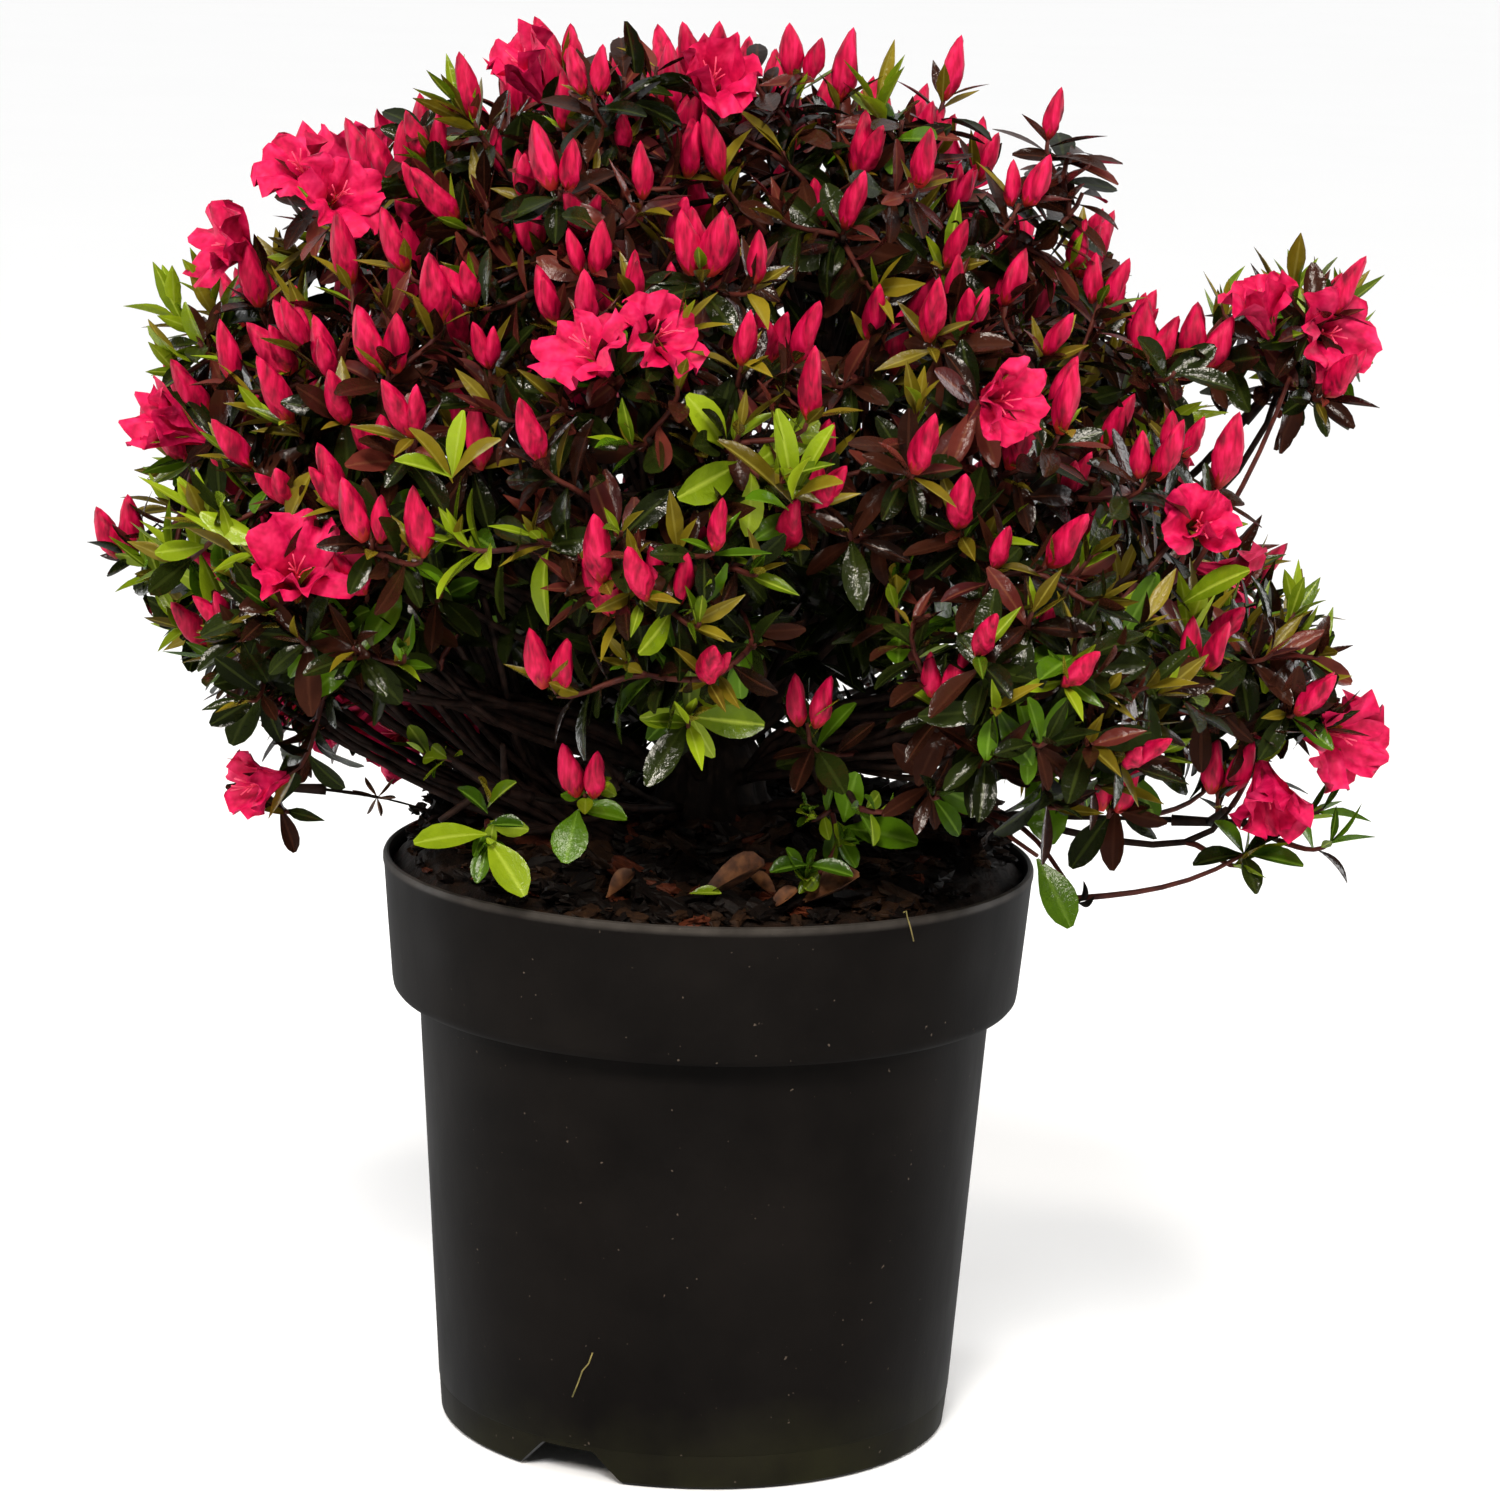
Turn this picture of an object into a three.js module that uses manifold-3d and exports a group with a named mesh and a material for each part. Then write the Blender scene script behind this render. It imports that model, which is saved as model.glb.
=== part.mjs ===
// A Japanese azalea in a nursery container: a short root crown in a mound of bark compost, a fan of stems,
// and a rounded crown of small glossy leaves with pointed crimson buds and open flowers.
// Millimetres, +Z up. The pot stands on z = 0, and the origin is under the middle of the whole plant.

import * as THREE from "three";
import { mergeVertices } from "three/addons/utils/BufferGeometryUtils.js";
import Module from "manifold-3d";

const wasm = await Module();
wasm.setup();
const { Manifold } = wasm;

// ---- Driving dimensions ----

// The container: a tapered wall under a wide collar, on a foot ring with three drainage notches.
const POT_HEIGHT = 204;
const RIM_RADIUS = 115;
const COLLAR_HEIGHT = 49;
const COLLAR_FOOT_RADIUS = 110.8;
const SHOULDER_RADIUS = 101.6;
const BASE_RADIUS = 91;
const POT_WALL = 2.4;
const FLOOR_UNDERSIDE = 11;
const FLOOR_THICKNESS = 3;
const FOOT_RING_WIDTH = 6;
const POT_SIDES = 36;
const NOTCH_COUNT = 3;
const NOTCH_FIRST_AZIMUTH = 242;
const NOTCH_GROUND_WIDTH = 43;
const NOTCH_TOP_WIDTH = 20;
const DRAIN_COUNT = 4;
const DRAIN_RADIUS = 5;
const DRAIN_CIRCLE_RADIUS = 62;

// The compost: near the rim in front, heaped above it at the sides and back, and flat under the root crown.
const FIT_GAP = 0.3;
const COMPOST_EDGE_BELOW_RIM = 5;
const HEAP_FRONT = -2;
const HEAP_BACK = 9;
const HEAP_SLOPE_WIDTH = 12;
const MOUND_RISE = 5;
const COMPOST_ROUGHNESS = 1.2;
const COMPOST_SIDES = 24;

// The root crown that all stems leave.
const CROWN_FOOT_HEIGHT = POT_HEIGHT + 14;
const FLARE_RADIUS = 27;
const STOOL_RADIUS = 19;
const STOOL_HEIGHT = 34;
const FLARE_LOBES = 7;
const FLARE_DEPTH = 0.14;
const FLAT_PATCH_RADIUS = 31;

// The tiers of boughs. Each bough ends in one mass of foliage, whose centre is `reach` from the axis at
// `height` and `lean` to one side. It leaves the root crown at `level`, a share of its height, with an upward
// `tilt`. The low tier leaves the front open, where the pot's compost shows.
const TIERS = [
  {
    name: "low", count: 8, first: 33, spread: 315, lean: 14,
    reach: 160, height: 282, radius: 66, level: 0.34, tilt: 14, thickness: 4,
  },
  {
    name: "middle", count: 8, first: 0, spread: 315, lean: -20,
    reach: 134, height: 362, radius: 70, level: 0.61, tilt: 42, thickness: 3.8,
  },
  {
    name: "upper", count: 5, first: 30, spread: 288, lean: -26,
    reach: 84, height: 430, radius: 68, level: 0.8, tilt: 63, thickness: 3.1,
  },
  {
    name: "top", count: 1, first: 0, spread: 0, lean: -28,
    reach: 0, height: 440, radius: 60, level: 0.85, tilt: 90, thickness: 2.8,
  },
];
// Shoots that break the even outline: a long arm, two that droop past the rim, and three low ones over the
// compost. A shoot's foot is turned from its mass by `sweep`.
const SHOOTS = [
  {
    name: "right_arm", azimuth: -6, sweep: 14, lean: 0,
    reach: 198, height: 388, radius: 48, level: 0.42, tilt: 22, thickness: 2.8,
  },
  {
    name: "right_drooping", azimuth: -14, sweep: 0, lean: 0,
    reach: 190, height: 230, radius: 42, level: 0.08, tilt: 3, thickness: 2.2,
  },
  {
    name: "left_drooping", azimuth: 192, sweep: 0, lean: 0,
    reach: 156, height: 230, radius: 32, level: 0.08, tilt: 3, thickness: 1.8,
  },
  {
    name: "basal_left", azimuth: 224, sweep: 0, lean: 0,
    reach: 106, height: 240, radius: 36, level: 0.08, tilt: 6, thickness: 2,
  },
  {
    name: "basal_centre", azimuth: 240, sweep: 0, lean: 0,
    reach: 78, height: 252, radius: 32, level: 0.08, tilt: 8, thickness: 2,
  },
  {
    name: "basal_right", azimuth: 300, sweep: 0, lean: 0,
    reach: 86, height: 250, radius: 40, level: 0.08, tilt: 8, thickness: 2,
  },
];
// In front, the low tier is drawn in, lifted, steeper and smaller.
const FRONT_AZIMUTH = 258;
const FRONT_DRAWN_IN = 22;
const FRONT_LIFT = 42;
const FRONT_CUT = 14;
const FRONT_TILT = 10;
const CROWN_MIDDLE_HEIGHT = 290;
const BOUGH_SIDES = 5;
const BOUGH_STEPS = 5;
const BOUGH_TIP_SHARE = 0.5;
const BOUGH_END_DEPTH = 0.62;
const BOUGH_BEND = 0.52;
const FOOT_DEPTH = 0.5;

// Twigs, leaves, buds and flowers. Leaves are larger than life and fewer.
const SEED = 1907;
const TWIGS_PER_MASS = 5;
const FEWEST_TWIGS = 3;
const FULL_MASS_RADIUS = 62;
const STEM_RADIUS = 2.2;
const TWIG_RADIUS = 1.9;
const TWIG_SIDES = 3;
const TIP_CHOICES = 500;
const TIP_INWARD_LIMIT = -0.35;
const TIP_LIFT = 0.6;
const LEAVES_PER_TIP = 4;
const LEAF_LENGTH = 62;
const LEAF_WIDTH = 31;
const LEAF_THICKNESS = 1.6;
const STALK_RADIUS = 0.9;
const LEAF_WIDEST = 0.55;
const LEAF_SPACING = 3.2;
const LEAF_CHOICES = 40;
const LIGHT_SPREAD = 0.7;
const LEAF_CLEARANCE = 15;
const LEAF_SPREAD_MIN = 35;
const LEAF_SPREAD_MAX = 105;
const TIP_MARGIN = 27;
const BUD_LENGTH = 30;
const BUD_RADIUS = 6.2;
const BUD_SINK = 2;
const BUD_WIDEST = 0.38;
const BUD_SIDES = 4;
const TWIN_BUD_SHARE = 0.28;
const TWIN_TILT = 0.3;
const PETAL_COUNT = 5;
const FLOWER_RADIUS = 24;
const FLOWER_NOTCH_RADIUS = 15;
const FLOWER_HEIGHT = 21;
const FLOWER_THROAT_DEPTH = 10;
const CELL_MARGIN = 0.5;
const LIMB_MARGIN = 0.8;
const RIM_MARGIN = 2;
const SMALLEST_DETAIL = 0.3;
const GRID = 0.01;
const OUTWARD_LIFT = 0.2;
const INWARD_COST = 12;
const SHORTEST_TWIG = 9;
const FAR = 1000;
const OUTER_FAVOUR = 0.25;

// Where the open flowers sit on the crown: azimuth in degrees and height.
const FLOWERS = [
  [213, 483], [265, 480], [186, 446], [214, 440], [180, 418], [258, 402], [297, 388], [357, 402], [342, 412],
  [316, 346], [349, 268], [345, 236], [228, 322], [191, 232], [205, 360],
  [35, 470], [100, 455], [150, 430], [60, 400], [115, 350], [20, 330], [80, 290], [160, 285], [130, 400],
];

// ---- Small helpers ----

const UP = new THREE.Vector3(0, 0, 1);
const degrees = THREE.MathUtils.degToRad;

// A repeatable stream of numbers from 0 to 1.
function seeded(seed) {
  let state = seed >>> 0;
  return () => {
    state = (state + 0x6d2b79f5) >>> 0;
    let mixed = Math.imul(state ^ (state >>> 15), 1 | state);
    mixed = (mixed + Math.imul(mixed ^ (mixed >>> 7), 61 | mixed)) ^ mixed;
    return ((mixed ^ (mixed >>> 14)) >>> 0) / 4294967296;
  };
}

function solidOf(geometry) {
  const bare = geometry.index ? geometry.toNonIndexed() : geometry.clone();
  bare.deleteAttribute("normal");
  bare.deleteAttribute("uv");
  const merged = mergeVertices(bare, 1e-4);
  return new Manifold(
    new wasm.Mesh({
      numProp: 3,
      vertProperties: merged.attributes.position.array,
      triVerts: new Uint32Array(merged.index.array),
    }),
  );
}

function nodeOf(name, solid, material) {
  const mesh = solid.getMesh();
  const geometry = new THREE.BufferGeometry();
  geometry.setAttribute("position", new THREE.BufferAttribute(mesh.vertProperties, 3));
  geometry.setIndex(new THREE.BufferAttribute(mesh.triVerts, 1));
  geometry.computeVertexNormals();
  const node = new THREE.Mesh(geometry, material);
  node.name = name;
  return node;
}

// A solid with its smallest facets merged, its corners on a fine grid, and its loose scraps dropped.
function tidied(solid) {
  const toGrid = (corner) => corner.forEach((value, i) => (corner[i] = Math.round(value / GRID) * GRID));
  const bodies = solid.asOriginal().simplify(SMALLEST_DETAIL).warp(toGrid).simplify(GRID * 2).decompose();
  return bodies.reduce((a, b) => (b.volume() > a.volume() ? b : a));
}

function lathe(profile, sides) {
  const points = profile.map(([radius, height]) => new THREE.Vector2(radius, height));
  return new THREE.LatheGeometry(points, sides).rotateX(Math.PI / 2);
}

// A point from its azimuth in degrees, distance from the axis and height.
function polar(azimuth, reach, height) {
  const turn = degrees(azimuth);
  return new THREE.Vector3(reach * Math.cos(turn), reach * Math.sin(turn), height);
}

// Stands a geometry that points up +Z on a place, turned to a direction and spun about it.
function stand(geometry, place, direction, spin = 0) {
  const turn = new THREE.Quaternion().setFromUnitVectors(UP, direction);
  const matrix = new THREE.Matrix4().makeRotationFromQuaternion(turn);
  matrix.multiply(new THREE.Matrix4().makeRotationZ(spin));
  return geometry.applyMatrix4(matrix.setPosition(place));
}

function cornersOf(geometry) {
  const position = geometry.getAttribute("position");
  const corner = (_, i) => new THREE.Vector3().fromBufferAttribute(position, i);
  return Array.from({ length: position.count }, corner);
}

// ---- Pot and compost ----

function wallRadius(height) {
  const share = height / (POT_HEIGHT - COLLAR_HEIGHT);
  return BASE_RADIUS + (SHOULDER_RADIUS - BASE_RADIUS) * share;
}

function makePot() {
  const collarFoot = POT_HEIGHT - COLLAR_HEIGHT;
  const floorTop = FLOOR_UNDERSIDE + FLOOR_THICKNESS;
  const profile = [
    [0, FLOOR_UNDERSIDE],
    [BASE_RADIUS - FOOT_RING_WIDTH, FLOOR_UNDERSIDE],
    [BASE_RADIUS - FOOT_RING_WIDTH + 1, 0],
    [BASE_RADIUS, 0],
    [SHOULDER_RADIUS, collarFoot - 0.5],
    [COLLAR_FOOT_RADIUS - 3.5, collarFoot - 0.5],
    [COLLAR_FOOT_RADIUS - 1, collarFoot + 1],
    [COLLAR_FOOT_RADIUS, collarFoot + 4],
    [RIM_RADIUS, POT_HEIGHT - 1.5],
    [RIM_RADIUS - POT_WALL / 2, POT_HEIGHT],
    [RIM_RADIUS - POT_WALL, POT_HEIGHT - 1.5],
    [COLLAR_FOOT_RADIUS - POT_WALL, collarFoot + 3],
    [SHOULDER_RADIUS - POT_WALL, collarFoot + 3],
    [wallRadius(floorTop) - POT_WALL, floorTop],
    [0, floorTop],
  ];
  let pot = solidOf(lathe(profile, POT_SIDES));
  const notch = new THREE.Shape([
    new THREE.Vector2(-NOTCH_GROUND_WIDTH / 2, -1),
    new THREE.Vector2(NOTCH_GROUND_WIDTH / 2, -1),
    new THREE.Vector2(NOTCH_TOP_WIDTH / 2, FLOOR_UNDERSIDE - 0.5),
    new THREE.Vector2(-NOTCH_TOP_WIDTH / 2, FLOOR_UNDERSIDE - 0.5),
  ]);
  for (let i = 0; i < NOTCH_COUNT; i++) {
    const cutter = new THREE.ExtrudeGeometry(notch, { depth: 24, bevelEnabled: false, steps: 1 });
    cutter.rotateX(Math.PI / 2).rotateZ(Math.PI / 2).translate(BASE_RADIUS - 16, 0, 0);
    cutter.rotateZ(degrees(NOTCH_FIRST_AZIMUTH + (360 / NOTCH_COUNT) * i));
    pot = pot.subtract(solidOf(cutter));
  }
  for (let i = 0; i < DRAIN_COUNT; i++) {
    const place = polar((360 / DRAIN_COUNT) * i, DRAIN_CIRCLE_RADIUS, FLOOR_UNDERSIDE + FLOOR_THICKNESS / 2);
    const drill = new THREE.CylinderGeometry(DRAIN_RADIUS, DRAIN_RADIUS, FLOOR_THICKNESS * 3, 8);
    drill.rotateX(Math.PI / 2).translate(place.x, place.y, place.z);
    pot = pot.subtract(solidOf(drill));
  }
  return pot;
}

// The compost's height at a place: a heap that is low in front, with a small flat patch under the root crown.
function compostHeight(x, y) {
  const innerRadius = RIM_RADIUS - POT_WALL - FIT_GAP;
  const radius = Math.hypot(x, y);
  const front = THREE.MathUtils.smoothstep(-y / innerRadius, -0.1, 0.75);
  const heap = THREE.MathUtils.lerp(HEAP_BACK, HEAP_FRONT, front);
  const edge = THREE.MathUtils.smoothstep(innerRadius - radius, 0, HEAP_SLOPE_WIDTH);
  const rough = COMPOST_ROUGHNESS * Math.sin(x * 0.19 + 1.3) * Math.cos(y * 0.23 - x * 0.07);
  const mound = MOUND_RISE * (1 - (radius / innerRadius) ** 2);
  const edgeHeight = POT_HEIGHT - COMPOST_EDGE_BELOW_RIM;
  const surface = edgeHeight + edge * (COMPOST_EDGE_BELOW_RIM + heap + mound + rough);
  const patch = THREE.MathUtils.smoothstep(radius, FLAT_PATCH_RADIUS, FLAT_PATCH_RADIUS + 22);
  return THREE.MathUtils.lerp(CROWN_FOOT_HEIGHT - FIT_GAP, surface, patch);
}

function makeCompost() {
  const floor = FLOOR_UNDERSIDE + FLOOR_THICKNESS + FIT_GAP;
  const collarInside = POT_HEIGHT - COLLAR_HEIGHT + 3 + FIT_GAP;
  const inner = RIM_RADIUS - POT_WALL - FIT_GAP;
  const rings = [inner - 0.5, inner - 6, inner - 13, inner - 34, FLAT_PATCH_RADIUS + 14, FLAT_PATCH_RADIUS];
  const edgeHeight = POT_HEIGHT - COMPOST_EDGE_BELOW_RIM;
  const profile = [
    [0, floor],
    [wallRadius(floor) - POT_WALL - FIT_GAP - 0.3, floor],
    [SHOULDER_RADIUS - POT_WALL - FIT_GAP - 0.3, collarInside - 0.6],
    [SHOULDER_RADIUS - POT_WALL - FIT_GAP - 0.3, collarInside],
    [COLLAR_FOOT_RADIUS - POT_WALL - FIT_GAP - 0.3, collarInside],
    ...rings.map((radius) => [radius, edgeHeight]),
    [0, edgeHeight],
  ];
  const geometry = lathe(profile, COMPOST_SIDES);
  const position = geometry.getAttribute("position");
  for (let i = 0; i < position.count; i++) {
    const onTop = position.getZ(i) > edgeHeight - 0.01;
    if (onTop) position.setZ(i, compostHeight(position.getX(i), position.getY(i)));
  }
  return solidOf(geometry);
}

// ---- Root crown and boughs ----

function stoolProfile(extra) {
  return [
    [0, -extra],
    [FLARE_RADIUS + extra, -extra],
    [FLARE_RADIUS - 4 + extra, 4],
    [STOOL_RADIUS + extra, 11],
    [STOOL_RADIUS - 1 + extra, STOOL_HEIGHT * 0.68],
    [STOOL_RADIUS * 0.6 + extra, STOOL_HEIGHT - 2],
    [0, STOOL_HEIGHT + extra],
  ];
}

// The root crown swells into lobes where the old roots leave it.
function makeStool(extra = 0) {
  const geometry = lathe(stoolProfile(extra), 21);
  const position = geometry.getAttribute("position");
  for (let i = 0; i < position.count; i++) {
    const [x, y, z] = [position.getX(i), position.getY(i), position.getZ(i)];
    const low = 1 - THREE.MathUtils.smoothstep(z, 0, 14);
    const lobe = 1 - FLARE_DEPTH * low * (0.5 - 0.5 * Math.cos(FLARE_LOBES * Math.atan2(y, x)));
    position.setXY(i, x * lobe, y * lobe);
  }
  return solidOf(geometry.translate(0, 0, CROWN_FOOT_HEIGHT));
}

// Every bough with its mass: the tiers in order, then the odd shoots.
function layOutBoughs() {
  const laid = [];
  for (const tier of TIERS)
    for (let i = 0; i < tier.count; i++) {
      const azimuth = tier.first + (tier.count > 1 ? (tier.spread / (tier.count - 1)) * i : 0);
      const front = tier.name === "low" ? Math.max(0, Math.cos(degrees(azimuth - FRONT_AZIMUTH))) ** 4 : 0;
      laid.push({
        ...tier,
        azimuth,
        sweep: 0,
        name: tier.count > 1 ? `${tier.name}_${i + 1}` : tier.name,
        reach: tier.reach - FRONT_DRAWN_IN * front,
        height: tier.height + FRONT_LIFT * front,
        radius: tier.radius - FRONT_CUT * front,
        tilt: tier.tilt + FRONT_TILT * front,
      });
    }
  laid.push(...SHOOTS);
  return laid.map((bough, index) => {
    const centre = polar(bough.azimuth, bough.reach, bough.height);
    centre.x += bough.lean;
    const tilt = degrees(bough.tilt);
    const footAzimuth = bough.azimuth + bough.sweep;
    const foot = polar(
      footAzimuth,
      STOOL_RADIUS * FOOT_DEPTH * Math.cos(tilt),
      CROWN_FOOT_HEIGHT + bough.thickness * 0.6 + STOOL_HEIGHT * bough.level,
    );
    const out = polar(footAzimuth, Math.cos(tilt), Math.sin(tilt));
    const bend = foot.clone().addScaledVector(out, foot.distanceTo(centre) * BOUGH_BEND);
    const curve = new THREE.QuadraticBezierCurve3(foot, bend, centre);
    const length = curve.getLength();
    const end = 1 - (bough.radius * BOUGH_END_DEPTH) / length;
    return { ...bough, index, centre, curve, length, end, tipRadius: bough.thickness * BOUGH_TIP_SHARE };
  });
}

function boughRadius(bough, share) {
  return THREE.MathUtils.lerp(bough.thickness, bough.tipRadius, share);
}

// A tapering limb: a cylinder bent along a stretch of a curve.
function limb(curve, from, to, startRadius, endRadius, sides, steps) {
  const geometry = new THREE.CylinderGeometry(endRadius, startRadius, 1, sides, steps);
  const position = geometry.getAttribute("position");
  const reference = new THREE.Vector3(0.31, 0.2, 0.93).normalize();
  for (let i = 0; i < position.count; i++) {
    const at = THREE.MathUtils.lerp(from, to, position.getY(i) + 0.5);
    const along = curve.getTangentAt(at);
    const side = new THREE.Vector3().crossVectors(along, reference).normalize();
    const over = new THREE.Vector3().crossVectors(side, along);
    const place = curve.getPointAt(at);
    place.addScaledVector(side, position.getX(i)).addScaledVector(over, position.getZ(i));
    position.setXYZ(i, place.x, place.y, place.z);
  }
  return geometry;
}

function makeBough(bough, stoolClearance) {
  const whole = solidOf(
    limb(bough.curve, 0, bough.end, bough.thickness, bough.tipRadius, BOUGH_SIDES, BOUGH_STEPS),
  );
  return tidied(whole.subtract(stoolClearance));
}

// ---- Foliage masses ----

function insideCell(point, bough, boughs, margin) {
  for (const other of boughs) {
    if (other === bough) continue;
    const across = new THREE.Vector3().subVectors(other.centre, bough.centre);
    const size = across.length();
    const middle = new THREE.Vector3().addVectors(other.centre, bough.centre).multiplyScalar(0.5);
    // Big masses take more of the gap than small ones.
    const shift = (size * (bough.radius - other.radius)) / (bough.radius + other.radius) / 2;
    if (point.clone().sub(middle).dot(across) / size > shift - margin) return false;
  }
  if (point.distanceTo(bough.centre) > bough.radius) return false;
  const radius = Math.hypot(point.x, point.y);
  const overRim = radius > RIM_RADIUS - 14 && radius < RIM_RADIUS + RIM_MARGIN;
  if (overRim) return point.z > POT_HEIGHT + RIM_MARGIN + 8;
  return radius > RIM_RADIUS || point.z > compostHeight(point.x, point.y) + RIM_MARGIN;
}

function clearOfLimbs(points, radii, limbs, ownIndex) {
  for (const limbLine of limbs)
    for (const sample of limbLine.samples)
      for (let i = 0; i < points.length; i++) {
        const room = sample.radius + radii[i] + LIMB_MARGIN;
        if (limbLine.index === ownIndex && sample.tip) continue;
        if (points[i].distanceTo(sample.place) < room) return false;
      }
  return true;
}

function limbSamples(boughs) {
  return boughs.map((bough) => {
    const count = Math.ceil(bough.length / 3);
    const samples = Array.from({ length: count + 1 }, (_, i) => {
      const at = (bough.end * i) / count;
      return { place: bough.curve.getPointAt(at), radius: boughRadius(bough, i / count), tip: i > count - 3 };
    });
    return { index: bough.index, samples };
  });
}

// Small masses have smaller and fewer pieces.
function scaleOf(bough) {
  return Math.min(1, bough.radius / FULL_MASS_RADIUS);
}

// Which way a mass looks out of the crown.
function outwardOf(bough) {
  const outward = bough.centre.clone().sub(new THREE.Vector3(0, 0, CROWN_MIDDLE_HEIGHT)).normalize();
  return outward.addScaledVector(UP, OUTWARD_LIFT).normalize();
}

// Places for the tips of a mass's twigs, spread evenly: of many in its outer part, each next tip is the one
// that is furthest from those before it.
function tipPlaces(bough, boughs, outward, random) {
  const margin = TIP_MARGIN * scaleOf(bough);
  const choices = [];
  for (let i = 0; i < TIP_CHOICES; i++) {
    const offset = new THREE.Vector3(random() * 2 - 1, random() * 2 - 1, random() * 2 - 1);
    if (offset.length() > 1 || offset.dot(outward) < TIP_INWARD_LIMIT) continue;
    const place = bough.centre.clone().addScaledVector(offset, bough.radius - margin);
    if (insideCell(place, bough, boughs, margin * 0.5)) choices.push({ place, inward: -offset.dot(outward) });
  }
  const count = Math.round(Math.max(FEWEST_TWIGS, TWIGS_PER_MASS * scaleOf(bough)));
  const chosen = [];
  while (chosen.length < count && choices.length) {
    const scored = choices.map((choice) => {
      const apart = Math.min(FAR, ...chosen.map((other) => other.place.distanceTo(choice.place)));
      return { choice, score: apart - choice.inward * INWARD_COST };
    });
    chosen.push(scored.reduce((a, b) => (b.score > a.score ? b : a)).choice);
  }
  return chosen;
}

// The twigs of one mass leave a stem that carries the bough on to the middle of the mass.
function growTwigs(bough, boughs, limbs) {
  const random = seeded(SEED + bough.index * 101);
  const start = bough.end + FIT_GAP / bough.length;
  const twigs = [];
  for (const { place: tip, inward } of tipPlaces(bough, boughs, outwardOf(bough), random)) {
    const root = bough.curve.getPointAt(THREE.MathUtils.lerp(start, 1, 0.6 - 0.4 * inward));
    const line = new THREE.LineCurve3(root, tip);
    const points = [0.4, 0.6, 0.8, 1].map((share) => line.getPoint(share));
    if (line.getLength() < SHORTEST_TWIG || !clearOfLimbs(points, [2, 2, 2, 2], limbs, bough.index)) continue;
    const along = line.getTangent(0);
    twigs.push({
      line,
      tip,
      along,
      foot: tip.clone().addScaledVector(along, -BUD_SINK),
      aim: along.clone().multiplyScalar(0.6).addScaledVector(UP, TIP_LIFT).normalize(),
      spin: random() * Math.PI * 2,
      twin: random() < TWIN_BUD_SHARE,
    });
  }
  return { start, twigs };
}

// A leaf is a flat blade with a low keel under its midrib, from a thick stalk end to a point.
function leafGeometry(scale) {
  const leaf = lathe([[0, 0], [1, 0], [1, LEAF_WIDEST], [0, 1]], 3);
  const position = leaf.getAttribute("position");
  for (let i = 0; i < position.count; i++) {
    const [x, y, z] = [position.getX(i), position.getY(i), position.getZ(i)];
    const blade = [LEAF_THICKNESS / 1.5, (LEAF_WIDTH * scale) / Math.sqrt(3)];
    const [deep, wide] = z < 0.01 ? [STALK_RADIUS, STALK_RADIUS] : blade;
    position.setXYZ(i, x * deep, y * wide, z * LEAF_LENGTH * scale);
  }
  return leaf;
}

function budGeometry(scale) {
  const [radius, length] = [BUD_RADIUS * scale, BUD_LENGTH * scale];
  return lathe([[0, 0], [radius, length * BUD_WIDEST], [0, length]], BUD_SIDES);
}

// An open flower is a funnel whose edge is notched between blunt petals.
function flowerGeometry() {
  const corners = PETAL_COUNT * 3;
  const flower = lathe([[0, 0], [1, FLOWER_HEIGHT], [0, FLOWER_HEIGHT - FLOWER_THROAT_DEPTH]], corners);
  const position = flower.getAttribute("position");
  for (let i = 0; i < position.count; i++) {
    const corner = Math.round((Math.atan2(position.getY(i), position.getX(i)) / (2 * Math.PI)) * corners);
    const radius = corner % 3 === 0 ? FLOWER_NOTCH_RADIUS : FLOWER_RADIUS;
    position.setXY(i, position.getX(i) * radius, position.getY(i) * radius);
  }
  return flower;
}

// A direction that leans away from an axis by a tilt, at a turn about it.
function leanFrom(axis, tilt, turn) {
  const leaning = new THREE.Vector3().setFromSphericalCoords(1, tilt, turn);
  leaning.set(leaning.z, leaning.x, leaning.y);
  return leaning.applyQuaternion(new THREE.Quaternion().setFromUnitVectors(UP, axis));
}

// Whether a piece has room: all its corners are in the mass's own space, its spine is clear of every limb,
// and what has left its own twig is clear of the leaves, buds and twigs that are there already.
function hasRoom(mass, piece) {
  for (const corner of cornersOf(piece.geometry))
    if (!insideCell(corner, mass.bough, mass.boughs, CELL_MARGIN)) return false;
  if (!clearOfLimbs(piece.spine, piece.radii, mass.limbs, -1)) return false;
  const clearance = LEAF_CLEARANCE * mass.scale;
  return piece.free.every((place) => mass.taken.every((taken) => place.distanceTo(taken) >= clearance));
}

function addPiece(mass, piece) {
  mass.taken.push(...piece.free);
  mass.pieces.push(solidOf(piece.geometry));
}

function leafPiece(place, direction, size, light) {
  const geometry = stand(leafGeometry(size), place, direction, turnToLight(direction, light));
  const length = LEAF_LENGTH * size;
  const spotAt = (share) => place.clone().addScaledVector(direction, length * share);
  const spine = [0, 0.25, 0.5, 0.75, 1].map(spotAt);
  const half = (LEAF_WIDTH * size) / 2;
  return { geometry, spine, radii: [1, half * 0.5, half, half * 0.6, 1], free: spine.slice(2) };
}

// Sets a leaf on a twig, turned the way that has the most room.
function addLeaf(mass, place, axis, random) {
  let best = null;
  for (let choice = 0; choice < LEAF_CHOICES; choice++) {
    const tilt = degrees(THREE.MathUtils.lerp(LEAF_SPREAD_MIN, LEAF_SPREAD_MAX, random()));
    const direction = leanFrom(axis, tilt, random() * Math.PI * 2);
    const size = mass.scale * THREE.MathUtils.lerp(0.8, 1.1, random());
    const light = leanFrom(mass.light, random() * LIGHT_SPREAD, random() * Math.PI * 2);
    const piece = leafPiece(place, direction, size, light);
    const room = Math.min(...mass.taken.map((taken) => taken.distanceTo(piece.spine[3])));
    if ((!best || room > best.room) && hasRoom(mass, piece)) best = { ...piece, room };
  }
  if (best) addPiece(mass, best);
}

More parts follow.
